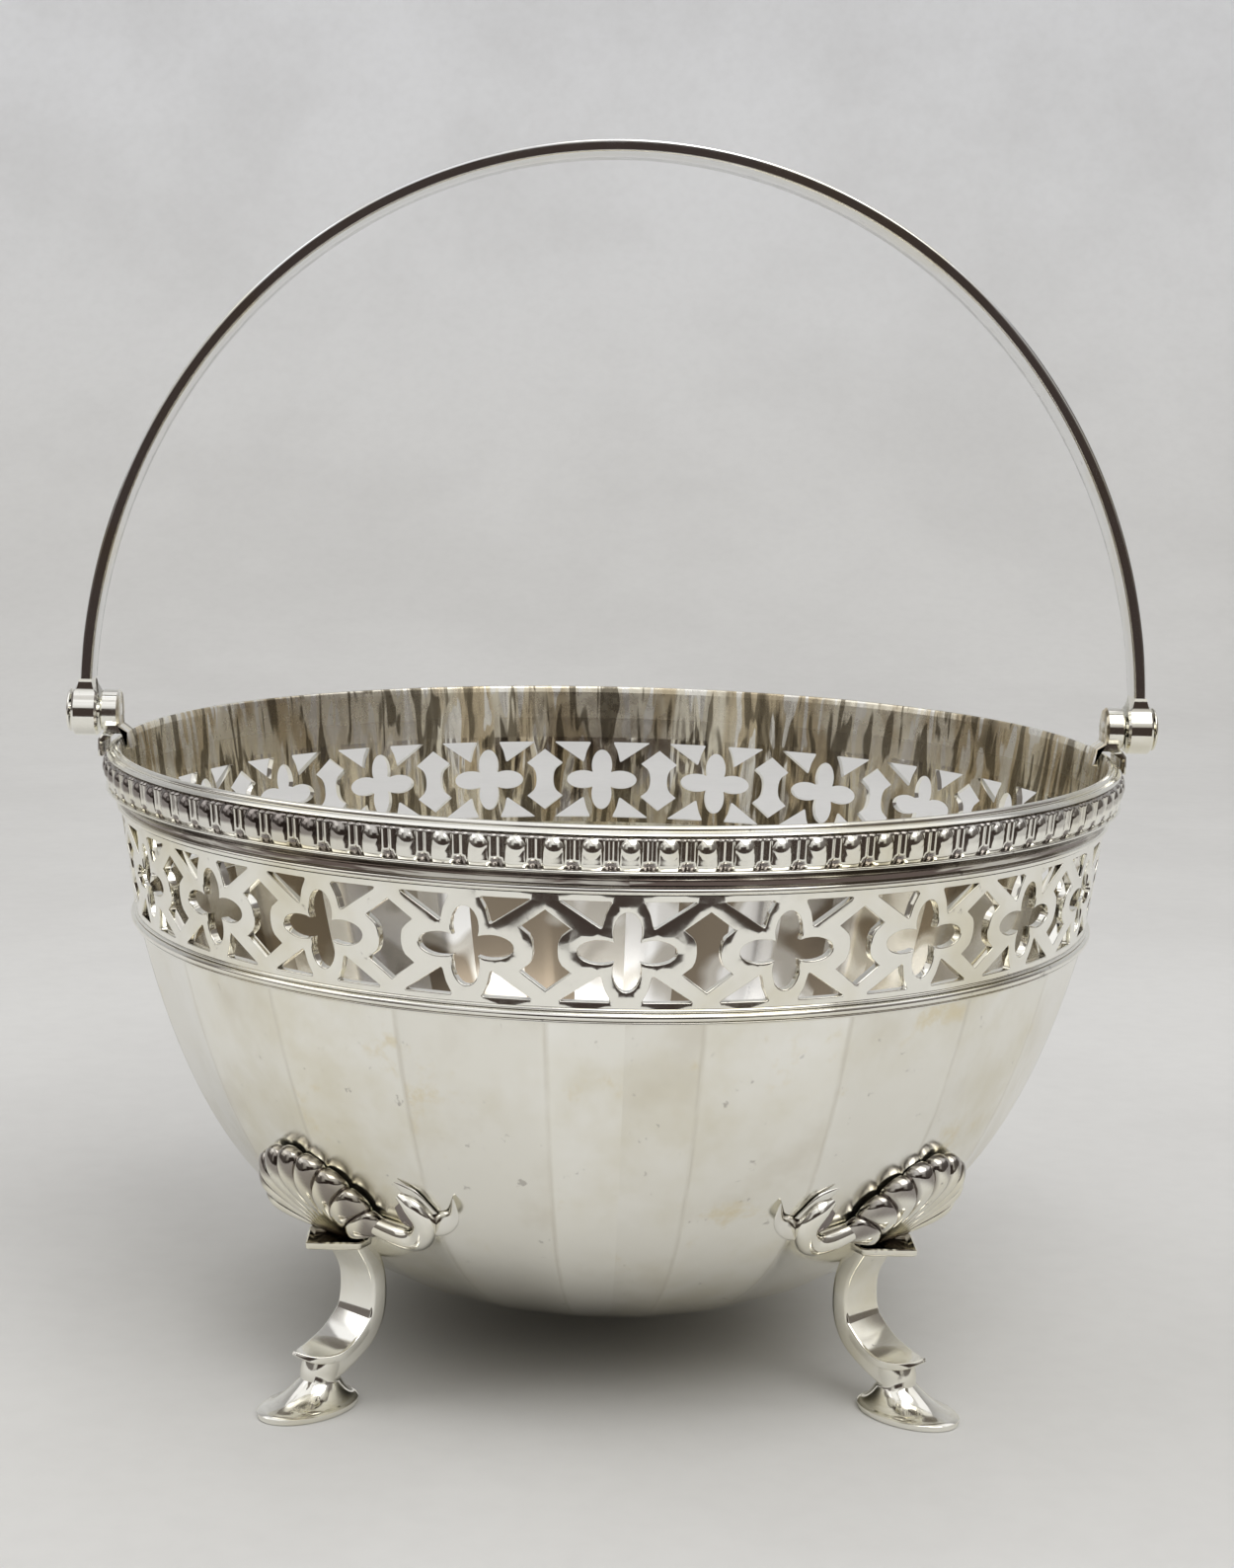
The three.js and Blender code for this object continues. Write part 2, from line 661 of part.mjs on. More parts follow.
// An oval ring of points across the foot, for lofting upwards
function oval(u, z, halfLength, halfWidth, sides = 8) {
  return Array.from({ length: sides }, (_, i) => {
    const angle = (2 * Math.PI * i) / sides;
    return new THREE.Vector3(u + halfLength * Math.cos(angle), halfWidth * Math.sin(angle), z);
  });
}

// Hoof pad with its flared top and the ankle over it
function hoof() {
  const [length, width] = [PAD_LENGTH / 2, PAD_WIDTH / 2];
  const blend = (share, from, to) => THREE.MathUtils.lerp(from, to, share);
  const flare = [0.15, 0.65, 1].map((share) => {
    const height = share ** 1.6;
    return oval(
      blend(share, PAD_CENTRE, ANKLE_CENTRE),
      blend(height, PAD_EDGE, ANKLE_Z),
      blend(share, length, ANKLE_RADIUS),
      blend(share, width, ANKLE_RADIUS)
    );
  });
  const base = [0, PAD_EDGE].map((z) => oval(PAD_CENTRE, z, length, width));
  const crown = oval(ANKLE_CENTRE, ANKLE_Z * 1.45, ANKLE_RADIUS * 1.2, ANKLE_RADIUS * 1.13);
  return loft([...base, ...flare, crown]);
}

// A bar of flat section along a path of [u, z] points, each with a width and a thickness
function flatBar(stations) {
  const centres = stations.map(([u, z]) => new THREE.Vector3(u, 0, z));
  return loft(
    stations.map(([, , width, thickness], i) => {
      const before = centres[Math.max(i - 1, 0)];
      const after = centres[Math.min(i + 1, centres.length - 1)];
      const along = after.clone().sub(before).normalize();
      const out = new THREE.Vector3(along.z, 0, -along.x);
      const [w, d] = [width / 2, thickness / 2];
      const corners = [
        [w, d * 0.5],
        [w * 0.8, d],
        [-w * 0.8, d],
        [-w, d * 0.5],
        [-w * 0.9, -d],
        [w * 0.9, -d],
      ];
      return corners
        .map(([across, outward]) =>
          centres[i].clone().addScaledVector(out, outward).add(new THREE.Vector3(0, across, 0))
        )
        .reverse();
    })
  );
}

// Leg from the ledge down and out to the ankle
function leg() {
  const u = LEG_FACE - LEG_THICKNESS / 2;
  const knee = THREE.MathUtils.lerp(ANKLE_Z, LEDGE_Z, 0.42);
  return flatBar([
    [ANKLE_CENTRE, ANKLE_Z * 1.17, LEG_WIDTH * 0.75, LEG_THICKNESS],
    [ANKLE_CENTRE - LEG_LEAN, SPUR_Z - LEG_LEAN / 2, LEG_WIDTH * 0.95, LEG_THICKNESS],
    [u + LEG_LEAN * 0.54, SPUR_Z + LEG_LEAN * 0.3, LEG_WIDTH, LEG_THICKNESS],
    [u, knee, LEG_WIDTH, LEG_THICKNESS],
    [u + LEG_LEAN * 0.12, THREE.MathUtils.lerp(ANKLE_Z, LEDGE_Z, 0.75), LEG_WIDTH, LEG_THICKNESS],
    [u + LEG_LEAN, LEDGE_Z + LEDGE_THICKNESS / 2, LEG_WIDTH * 1.1, LEG_THICKNESS * 1.17],
  ]);
}

// Pointed spur that runs from the front of the leg out over the hoof
function spur() {
  const reach = SPUR_REACH - LEG_FACE;
  return flatBar([
    [SPUR_REACH, SPUR_Z, LEG_WIDTH * 0.09, SPUR_THICKNESS * 0.35],
    [LEG_FACE + reach * 0.78, SPUR_Z - SPUR_SAG, LEG_WIDTH * 0.62, SPUR_THICKNESS * 0.75],
    [LEG_FACE + reach * 0.5, SPUR_Z - SPUR_SAG, LEG_WIDTH, SPUR_THICKNESS * 0.9],
    [LEG_FACE + reach * 0.2, SPUR_Z + SPUR_SAG / 2, LEG_WIDTH, SPUR_THICKNESS],
    [LEG_FACE - LEG_THICKNESS / 2, SPUR_Z + SPUR_CLIMB, LEG_WIDTH, SPUR_THICKNESS],
  ]);
}

// Ledge with a square corner pointing outwards
function ledge() {
  const inner = LEG_FACE - LEG_THICKNESS;
  const outline = [
    [LEDGE_REACH, 0],
    [LEDGE_REACH - LEDGE_HALF_WIDTH, LEDGE_HALF_WIDTH],
    [inner, LEDGE_HALF_WIDTH * 0.78],
    [inner, -LEDGE_HALF_WIDTH * 0.78],
    [LEDGE_REACH - LEDGE_HALF_WIDTH, -LEDGE_HALF_WIDTH],
  ].map(([u, t]) => new THREE.Vector2(u, t));
  const slab = new THREE.ExtrudeGeometry(new THREE.Shape(outline), {
    depth: LEDGE_THICKNESS,
    bevelEnabled: false,
  });
  return slab.translate(0, 0, LEDGE_Z);
}

// Fan of lobes that leaves the ledge narrow and spreads against the bowl
function shell() {
  const rows = 3;
  const columns = SHELL_LOBES * 2;
  const foot = LEDGE_Z + LEDGE_THICKNESS * 0.4;
  const centre = LEDGE_Z + SHELL_CENTRE;
  const spread = THREE.MathUtils.degToRad(SHELL_ARC);
  const rings = [];
  for (let row = 0; row <= rows; row += 1) {
    const along = row / rows;
    const face = [];
    const back = [];
    for (let column = 0; column <= columns; column += 1) {
      const fan = ((2 * column) / columns - 1) * spread;
      const lobed = column % 2 === 1;
      const reach = SHELL_RADIUS - (lobed ? 0 : SHELL_RELIEF * along);
      const t = THREE.MathUtils.lerp(SHELL_FOOT * Math.sin(fan), reach * Math.sin(fan), along ** 1.2);
      const z = THREE.MathUtils.lerp(foot, centre + reach * Math.cos(fan), along ** 0.9);
      const wall = Math.sqrt(bowlRadius(z) ** 2 - t ** 2);
      const swell = SHELL_SWELL * Math.sin(Math.PI * along);
      const ridge = lobed ? SHELL_RELIEF * (0.5 + 0.5 * along) : 0;
      face.push(new THREE.Vector3(wall + SHELL_STAND + swell + ridge, t, z));
      back.push(new THREE.Vector3(wall - SHELL_STAND, t, z));
    }
    rings.push([...face, ...back.reverse()]);
  }
  return stripLoft(rings);
}

// Skins rings that are not convex: their ends are closed strip by strip
function stripLoft(rings) {
  const count = rings[0].length;
  const half = count / 2;
  const geometry = new THREE.BufferGeometry();
  const index = [];
  for (let k = 0; k + 1 < rings.length; k += 1) {
    for (let i = 0; i < count; i += 1) {
      const j = (i + 1) % count;
      const [a, b, c, d] = [k * count + i, k * count + j, (k + 1) * count + j, (k + 1) * count + i];
      index.push(a, b, c, a, c, d);
    }
  }
  const last = (rings.length - 1) * count;
  for (let i = 0; i + 1 < half; i += 1) {
    const [a, b, c, d] = [i, i + 1, count - 2 - i, count - 1 - i];
    index.push(a, c, b, a, d, c);
    index.push(last + a, last + b, last + c, last + a, last + c, last + d);
  }
  const positions = rings.flat().flatMap((p) => [p.x, p.y, p.z]);
  geometry.setAttribute('position', new THREE.Float32BufferAttribute(positions, 3));
  geometry.setIndex(index);
  return weld(geometry);
}

// A tube of five sides laid on the bowl. Its path is in shares of the scroll's half width,
// of its half height and of the tube's radius.
function tubeOnBowl(shape) {
  const sides = 5;
  const [halfWidth, halfHeight] = [EAR_WIDTH / 2, EAR_HEIGHT / 2 - EAR_TUBE];
  const path = shape.map(([across, up, tube]) => [
    EAR_OFFSET + halfWidth * across,
    EAR_Z + halfHeight * up,
    EAR_TUBE * tube,
  ]);
  return loft(
    path.map(([t, z, tube], i) => {
      const before = path[Math.max(i - 1, 0)];
      const after = path[Math.min(i + 1, path.length - 1)];
      const along = new THREE.Vector2(after[0] - before[0], after[1] - before[1]).normalize();
      const wall = Math.sqrt(bowlRadius(z) ** 2 - t ** 2);
      return Array.from({ length: sides }, (_, k) => {
        const turn = (2 * Math.PI * k) / sides;
        const across = tube * Math.cos(turn);
        const out = wall + tube * (0.75 + Math.sin(turn));
        return new THREE.Vector3(out, t - across * along.y, z + across * along.x);
      });
    })
  );
}

// Scroll beside the shell: it leaves the shell's edge and curls up and over
function scroll() {
  return tubeOnBowl([
    [-1.8, -0.75, 0.9],
    [-0.6, -1, 1.15],
    [0.45, -0.75, 1.2],
    [0.85, 0.1, 1],
    [0.5, 0.9, 0.8],
    [-0.4, 0.95, 0.6],
  ]);
}

// Leaf that points away from the top of the scroll
function leaf() {
  return tubeOnBowl([
    [0.6, 0.4, 0.9],
    [1.4, 0.7, 0.7],
    [2.2, 1.15, 0.25],
  ]);
}

// Mirrors along one axis and turns the faces out again
function mirrored(geometry, axis) {
  const copy = geometry.clone();
  const scale = [1, 1, 1];
  scale[axis] = -1;
  copy.scale(...scale);
  const index = copy.getIndex();
  for (let i = 0; i < index.count; i += 3) {
    const first = index.getX(i);
    index.setX(i, index.getX(i + 2));
    index.setX(i + 2, first);
  }
  return copy;
}

function foot(bowl, degrees, scrollSide) {
  const ornament = [scroll(), leaf()].map((g) => (scrollSide > 0 ? g : mirrored(g, 1)));
  const pieces = [hoof(), leg(), spur(), ledge(), shell(), ...ornament].map(toSolid);
  const casting = pieces.reduce((sum, piece) => sum.add(piece));
  return toGeometry(casting.rotate([0, 0, degrees]).subtract(bowl));
}

add('bowl_shell', bowlShell());
add('waist_wire', waistWire());
add('pierced_band', pierced());
add('rim_moulding', rimMoulding());
add('gadroon_border', gadroonBorder(), CAST);
add('rim_lip', rimLip());

const rightPieces = {
  hinge_lug: [hingeLug(), CAST],
  handle_knuckle: [handleKnuckle(), CAST],
  hinge_pin: [hingePin(), POLISHED],
};
for (const [name, [geometry, material]] of Object.entries(rightPieces)) {
  add(`right_${name}`, geometry, material);
  add(`left_${name}`, geometry.clone().rotateZ(Math.PI), material);
}

add('handle_strap', handleStrap());

const bowlCutter = toSolid(bowlForm());
for (const [corner, [degrees, scrollSide]] of Object.entries(FEET)) {
  add(`${corner}_foot`, foot(bowlCutter, degrees, scrollSide), CAST);
}

export default part;
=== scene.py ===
import json
import math
import bmesh
import bpy
from mathutils import Matrix, Vector
from mathutils.geometry import delaunay_2d_cdt


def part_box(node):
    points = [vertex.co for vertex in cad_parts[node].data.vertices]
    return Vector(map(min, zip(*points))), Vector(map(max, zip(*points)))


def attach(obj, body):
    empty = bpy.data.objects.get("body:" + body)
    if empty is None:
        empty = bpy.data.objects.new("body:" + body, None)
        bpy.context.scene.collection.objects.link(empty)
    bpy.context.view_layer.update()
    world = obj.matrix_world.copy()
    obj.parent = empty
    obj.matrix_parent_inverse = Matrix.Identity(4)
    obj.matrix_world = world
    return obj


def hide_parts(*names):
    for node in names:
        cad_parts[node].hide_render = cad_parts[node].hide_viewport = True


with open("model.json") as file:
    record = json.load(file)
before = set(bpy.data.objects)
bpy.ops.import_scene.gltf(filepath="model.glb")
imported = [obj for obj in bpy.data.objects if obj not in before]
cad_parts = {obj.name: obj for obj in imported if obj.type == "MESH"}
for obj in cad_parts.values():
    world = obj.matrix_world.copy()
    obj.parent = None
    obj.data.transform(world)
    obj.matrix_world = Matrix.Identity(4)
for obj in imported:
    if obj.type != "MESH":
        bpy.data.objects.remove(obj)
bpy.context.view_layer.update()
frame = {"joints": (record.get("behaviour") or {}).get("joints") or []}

# Lengths are written in millimetres and become metres when a mesh is made
MM = 0.001


def node_box(node):
    low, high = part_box(node)
    return low / MM, high / MM


BAND_LOW, BAND_HIGH = node_box("pierced_band")
BORDER_LOW, BORDER_HIGH = node_box("gadroon_border")
LIP_LOW, LIP_HIGH = node_box("rim_lip")
BOWL_LOW, BOWL_HIGH = node_box("bowl_shell")
WIRE_LOW, WIRE_HIGH = node_box("waist_wire")
LUG_LOW, LUG_HIGH = node_box("right_hinge_lug")
KNUCKLE_LOW, KNUCKLE_HIGH = node_box("right_handle_knuckle")
STRAP_LOW, STRAP_HIGH = node_box("handle_strap")
PIN_LOW, PIN_HIGH = node_box("right_hinge_pin")
HINGE_Z = frame["joints"][0]["pos_m"][2] / MM

# Sizes shared with the solids
PANELS = 22
CELL = 2 * math.pi / PANELS  # angle of one panel and of one cell of the band
BAND_FLARE = 0.14
BAND_SHEET = 1.0
BOWL_WALL = 0.9
WALL_SLOPE, WALL_PULL = 0.25, 28.5  # the bowl's curve at its top
BASE_PULL = 40.0  # and at its bottom
BAND_FOOT_RADIUS = 60.2
BORDER_UNITS = 99
STRAP_THICK = 1.5
STRAP_END = 4.4
AROUND = PANELS * 12  # steps round a plain ring


def band_outer(z):
    return BAND_FOOT_RADIUS + BAND_FLARE * (z - BAND_LOW.z)


def band_inner(z):
    return band_outer(z) - BAND_SHEET


def lerp(a, b, t):
    return a + (b - a) * t


def smooth(t):
    t = min(max(t, 0.0), 1.0)
    return t * t * (3 - 2 * t)


def rising(value, start, width):
    """0 up to start, then a smooth rise to 1 over a width."""
    return smooth((value - start) / width)


def dome(x):
    return math.sqrt(max(0.0, 1 - x * x))


def circle(steps):
    """Cosine and sine of evenly spaced angles all the way round."""
    angles = [2 * math.pi * k / steps for k in range(steps)]
    return [(math.cos(a), math.sin(a)) for a in angles]


# Materials


class Nodes:
    """Short names for making and joining the nodes of one tree."""

    def __init__(self, tree):
        self.tree = tree
        tree.nodes.clear()

    def add(self, kind, settings=None, **inputs):
        node = self.tree.nodes.new("ShaderNode" + kind)
        for key, value in (settings or {}).items():
            setattr(node, key, value)
        for key, value in inputs.items():
            self.feed(node, key.replace("_", " "), value)
        return node

    def feed(self, node, name, value):
        """Links a socket to an input, given by name or number, or sets the input to a plain value."""
        entry = node.inputs[name]
        if isinstance(value, bpy.types.NodeSocket):
            self.tree.links.new(value, entry)
        else:
            entry.default_value = value

    def math(self, operation, a, b=0.0):
        node = self.add("Math", {"operation": operation})
        self.feed(node, 0, a)
        self.feed(node, 1, b)
        return node.outputs[0]

    def vector(self, operation, *values):
        node = self.add("VectorMath", {"operation": operation})
        for i, value in enumerate(values):
            self.feed(node, i, value)
        return node.outputs

    def noise(self, place, scale, detail, **inputs):
        """A noise, with a fourth dimension where W is given."""
        settings = {"noise_dimensions": "4D"} if "W" in inputs else None
        node = self.add("TexNoise", settings, Vector=place, Scale=scale, Detail=detail, **inputs)
        return node.outputs["Fac"]

    def ramp(self, value, low, high, start=0.0, end=1.0):
        """Goes smoothly from start to end as a value goes from low to high."""
        limits = {"From_Min": low, "From_Max": high, "To_Min": start, "To_Max": end}
        node = self.add("MapRange", {"interpolation_type": "SMOOTHSTEP"}, Value=value, **limits)
        return node.outputs["Result"]

    def mix(self, factor, a, b):
        """Mixes two colours, which are inputs 6 and 7 and output 2 of the node."""
        node = self.add("Mix", {"data_type": "RGBA"})
        for entry, value in ((0, factor), (6, a), (7, b)):
            self.feed(node, entry, value)
        return node.outputs[2]

    def tint(self, colour, other, value, low, high, share=1.0):
        """Mixes in up to a share of another colour as a value goes from low to high."""
        return self.mix(self.ramp(value, low, high, end=share), colour, other)


class Spot:
    """Sockets for the point that is shaded: place, height, angle round the axis and count of panels."""

    def __init__(self, n):
        self.place = n.add("TexCoord").outputs["Object"]
        parts = n.add("SeparateXYZ", Vector=self.place).outputs
        self.height = parts["Z"]
        self.angle = n.math("ARCTAN2", parts["X"], parts["Y"])
        self.turn = n.math("DIVIDE", self.angle, CELL)


def inward(n, spot):
    """1 on faces that look towards the basket's axis."""
    flat = n.vector("MULTIPLY", spot.place, (1, 1, 0))
    radial = n.vector("NORMALIZE", flat["Vector"])
    normal = n.add("TexCoord").outputs["Normal"]
    facing = n.vector("DOT_PRODUCT", normal, radial["Vector"])
    return n.ramp(facing["Value"], -0.35, -0.6)


def streaks(n, spot, seed, per_turn, tall, detail=3.0):
    """Wavy streaks, upright where per_turn is high for tall and level where it is low."""
    across = n.math("MULTIPLY", spot.angle, per_turn)
    up = n.math("MULTIPLY", spot.height, tall)
    place = n.add("CombineXYZ", X=across, Y=up, Z=seed).outputs[0]
    return n.noise(place, 1.0, detail, Roughness=0.6, Distortion=0.7)


BROAD_STREAKS = {"per_turn": 3.5, "tall": 25.0}
NARROW_STREAKS = {"per_turn": 27.0, "tall": 70.0, "detail": 1.5}
LEVEL_STREAKS = {"per_turn": 5.0, "tall": 1100.0}

BRIGHT = (0.94, 0.927, 0.86, 1)
STRAP_BRIGHT = (0.85, 0.855, 0.85, 1)
DULL = (0.82, 0.78, 0.64, 1)
TARNISH = (0.13, 0.095, 0.085, 1)
# colour of the painted shade and painted dark reflections kept on the points
PAINTED_SHADE_COLOUR = (0.17, 0.14, 0.135, 1)

PANEL_TONE = (0.80, 0.78, 0.71, 1)
PANEL_PALE = (0.99, 0.985, 0.95, 1)
PANEL_GREY = (0.74, 0.70, 0.60, 1)
PANEL_STAIN = (0.80, 0.70, 0.46, 1)
CREASE_STAIN_AND_SHADE = (0.66, 0.62, 0.53, 1)

# colours of the painted reflections on the inside of the rim; the white is a painted highlight
RIM_HIGHLIGHT = (1.0, 0.985, 0.92, 1)
RIM_PALE = (0.97, 0.92, 0.77, 1)
RIM_TAN = (0.70, 0.60, 0.42, 1)
RIM_BROWN = (0.34, 0.29, 0.20, 1)
RIM_DARK = (0.18, 0.15, 0.10, 1)

# colours of the painted reflection inside the bowl
PATCH_PALE = (0.95, 0.94, 0.90, 1)
PATCH_GREY = (0.60, 0.57, 0.50, 1)
PATCH_DARK = (0.25, 0.205, 0.15, 1)


def panel_number(n, turn):
    return n.math("FLOOR", n.math("SUBTRACT", turn, 0.5))


def panelled(n, spot, colour):
    """Each panel has a tone and clouds of its own; each crease keeps an uneven dark line, partly stain and
    partly painted shade.
    """
    panel = panel_number(n, spot.turn)
    tone = n.add("TexWhiteNoise", {"noise_dimensions": "1D"}, W=panel).outputs["Value"]
    clouds = n.noise(spot.place, 42.0, 5.0, W=panel, Roughness=0.6)
    stains = n.noise(spot.place, 75.0, 6.0, W=panel, Roughness=0.7)
    colour = n.tint(colour, PANEL_TONE, tone, 0.0, 1.0, 0.30)
    colour = n.tint(colour, PANEL_PALE, clouds, 0.50, 0.66, 0.55)
    colour = n.tint(colour, PANEL_GREY, clouds, 0.47, 0.33, 0.55)
    colour = n.tint(colour, PANEL_STAIN, stains, 0.58, 0.70, 0.7)
    # a dark line along each crease, partly stain and partly painted shade
    from_crease = n.math("ABSOLUTE", n.math("SUBTRACT", n.math("FRACT", spot.turn), 0.5))
    uneven = n.ramp(stains, 0.38, 0.6, start=0.3)
    line = n.math("MULTIPLY", n.ramp(from_crease, 0.03, 0.004, end=0.5), uneven)
    return n.mix(line, colour, CREASE_STAIN_AND_SHADE)


def rim_painted_reflection(n, spot):
    """The inside of the rim, streaked by its tool marks, is painted with reflections of the band across
    from it: tan, brown and dark streaks and white painted highlights.
    """
    broad = streaks(n, spot, 7.0, **BROAD_STREAKS)
    narrow = streaks(n, spot, 1.0, **NARROW_STREAKS)
    colour = n.tint(RIM_PALE, RIM_TAN, broad, 0.47, 0.55)
    colour = n.tint(colour, RIM_BROWN, broad, 0.62, 0.66)
    colour = n.tint(colour, RIM_DARK, narrow, 0.54, 0.59, 0.85)
    return n.tint(colour, RIM_HIGHLIGHT, narrow, 0.44, 0.41, 0.9)


def bowl_painted_reflection(n, spot):
    """The inside of the bowl is painted with a reflection of the pierced band, in broken patches by half
    panels.
    """
    half_panel = panel_number(n, n.math("MULTIPLY", spot.turn, 2.0))
    patches = n.noise(spot.place, 65.0, 2.0, W=half_panel)
    colour = n.tint(PATCH_DARK, PATCH_GREY, patches, 0.44, 0.50)
    return n.tint(colour, PATCH_PALE, patches, 0.52, 0.58)


def polished_cove(n, spot, colour, low, high):
    """Tarnish between two heights in metres, with polish left in long level streaks."""
    above = n.ramp(spot.height, low, low + 0.0001)
    below = n.ramp(spot.height, high, high - 0.0002)
    level = streaks(n, spot, 5.0, **LEVEL_STREAKS)
    dark = n.math("MULTIPLY", n.math("MULTIPLY", above, below), n.ramp(level, 0.60, 0.45, 0.4, 0.97))
    return n.mix(dark, colour, TARNISH)


def silver(
    name, roughness, depth, recess, wave,
    bright=BRIGHT, surface=None, lining=None, lining_gloss=0.0, cove=None,
):
    """Polished silver: faint stains, fine wear in the gloss and tarnish left in the recesses.

    A recess is felt over depth, in metres, and tarnished by the share recess. The polish is uneven
    by wave. Faces that look inwards are painted with a reflection by lining, and lining_gloss makes them
    duller.
    """
    material = bpy.data.materials.new(name)
    material.use_nodes = True
    n = Nodes(material.node_tree)
    spot = Spot(n)
    clouds = n.noise(spot.place, 38.0, 5.0, Roughness=0.62)
    specks = n.noise(spot.place, 420.0, 3.0, Roughness=0.7)
    scratches = n.noise(spot.place, 1500.0, 2.0)
    swell = n.noise(spot.place, 85.0, 1.0)
    colour = n.tint(bright, DULL, clouds, 0.46, 0.70)
    colour = n.tint(colour, TARNISH, specks, 0.66, 0.74, 0.5)
    if surface:
        colour = surface(n, spot, colour)
    if cove:
        colour = polished_cove(n, spot, colour, *cove)
    hollow = n.add("AmbientOcclusion", {"samples": 8, "only_local": True}, Distance=depth)
    colour = n.tint(colour, TARNISH, hollow.outputs["AO"], 0.75, 0.2, recess)
    # the darkening kept on a piece's points is painted shade and painted dark reflection
    painted_shade = n.add("Attribute", {"attribute_name": "painted_shade"}).outputs["Fac"]
    colour = n.mix(painted_shade, colour, PAINTED_SHADE_COLOUR)
    # the broad panels are clouded, the small pieces specked
    worn = clouds if surface else specks
    gloss = n.ramp(worn, 0.3, 0.8, roughness * 0.7, roughness * 1.5)
    if lining:
        mask = inward(n, spot)
        colour = n.mix(mask, colour, lining(n, spot))
        gloss = n.math("ADD", gloss, n.math("MULTIPLY", mask, lining_gloss))
    if lining is rim_painted_reflection:
        ripple = n.math("MULTIPLY", mask, streaks(n, spot, 3.0, **NARROW_STREAKS))
        swell = n.math("ADD", swell, n.math("MULTIPLY", ripple, 20.0))
    uneven = n.add("Bump", Height=swell, Strength=wave, Distance=0.0005).outputs["Normal"]
    bump = n.add("Bump", Height=scratches, Strength=0.02, Distance=0.00005, Normal=uneven)
    shader = n.add("BsdfPrincipled", Base_Color=colour, Roughness=gloss, Normal=bump.outputs["Normal"])
    shader.inputs["Metallic"].default_value = 1.0
    n.add("OutputMaterial", Surface=shader.outputs["BSDF"])
    return material


REED_TOP = BAND_HIGH.z + 0.98
COVE_TOP = BORDER_LOW.z - 0.3
MOULDING_COVE = (REED_TOP * MM, COVE_TOP * MM)

# the four numbers are roughness, depth, recess and wave
BOWL_SILVER = silver(
    "bowl_silver", 0.17, 0.002, 0.15, 0.12, surface=panelled, lining=bowl_painted_reflection, lining_gloss=0.03
)
SHEET_SILVER = silver("sheet_silver", 0.08, 0.0012, 0.5, 0.05)
MOULDING_SILVER = silver(
    "moulding_silver", 0.09, 0.0006, 0.3, 0.05, lining=rim_painted_reflection, lining_gloss=0.15, cove=MOULDING_COVE
)
RIM_SILVER = silver("rim_silver", 0.13, 0.0008, 0.15, 0.05, lining=rim_painted_reflection, lining_gloss=0.15)
BAND_SILVER = silver("band_silver", 0.08, 0.0012, 0.5, 0.1, lining=rim_painted_reflection, lining_gloss=0.08)
CAST_SILVER = silver("cast_silver", 0.09, 0.0016, 0.7, 0.05)
STRAP_SILVER = silver("strap_silver", 0.1, 0.0012, 0.5, 0.05, bright=STRAP_BRIGHT)


# Mesh building

SHEET, CAST = "silver_sheet", "silver_cast"  # names of sheet and cast silver


def make_piece(name, verts, faces, nodes, material, slot, body="basket", sharp=38, painted_shade=None):
    mesh = bpy.data.meshes.new(name)
    mesh.from_pydata([Vector(v) * MM for v in verts], [], faces)
    # the points carry painted shade and painted dark reflections as an attribute
    if painted_shade:
        mesh.attributes.new("painted_shade", "FLOAT", "POINT").data.foreach_set("value", painted_shade)
    form = bmesh.new()
    form.from_mesh(mesh)
    bmesh.ops.remove_doubles(form, verts=form.verts, dist=1e-7)
    bmesh.ops.recalc_face_normals(form, faces=form.faces)
    form.to_mesh(mesh)
    form.free()
    mesh.polygons.foreach_set("use_smooth", [True] * len(mesh.polygons))
    mesh.set_sharp_from_angle(angle=math.radians(sharp))
    mesh.materials.append(material)
    obj = bpy.data.objects.new(name, mesh)
    bpy.context.scene.collection.objects.link(obj)
    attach(obj, body)
    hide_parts(*nodes)


class Form:
    """Vertices, faces and painted shade of one piece, gathered part by part."""

    def __init__(self):
        self.verts = []
        self.faces = []
        self.painted_shade = []

    def take(self, verts, faces, painted_shade=None):
        first = len(self.verts)
        self.verts += [Vector(v) for v in verts]
        self.faces += [[first + i for i in face] for face in faces]
        self.painted_shade += painted_shade or [0.0] * len(verts)


def joined(*parts):
    form = Form()
    for part in parts:
        form.take(*part)
    return form


def skin(rings, closed_along=False, caps=True):
    """Quads between rings of equal count, each ring closed on itself."""
    count = len(rings[0])
    verts = [p for ring in rings for p in ring]
    faces = []
    spans = len(rings) if closed_along else len(rings) - 1
    for k in range(spans):
        low, high = k * count, (k + 1) % len(rings) * count
        for i in range(count):
            j = (i + 1) % count
            faces.append([low + i, low + j, high + j, high + i])
    if caps and not closed_along:
        faces.append(list(range(count))[::-1])
        faces.append([len(verts) - count + i for i in range(count)])
    return verts, faces


def ring_at(angle, outline, share=1.0):
    """An outline of (radius, z) at an angle round the axis, its radii times a share."""
    return [(r * share * math.sin(angle), -r * share * math.cos(angle), z) for r, z in outline]


def turned(outline):
    """A closed outline of (radius, z) turned about the z axis."""
    rings = [ring_at(2 * math.pi * k / AROUND, outline) for k in range(AROUND)]
    return skin(rings, closed_along=True)


def arc(centre_r, centre_z, radius, start, end, steps):
    points = []
    for k in range(steps + 1):
        a = math.radians(lerp(start, end, k / steps))
        points.append((centre_r + radius * math.cos(a), centre_z + radius * math.sin(a)))
    return points


def cubic(p0, p1, p2, p3, steps):
    points = []
    for k in range(steps + 1):
        t = k / steps
        s = 1 - t
        points.append(tuple(
            s**3 * a + 3 * s * s * t * b + 3 * s * t * t * c + t**3 * d
            for a, b, c, d in zip(p0, p1, p2, p3)
        ))
    return points


# Bowl

CREASE_ROUNDING = 0.05  # share of a panel over which its crease is rounded
PANEL_SINK = 1 - math.cos(CELL / 2)


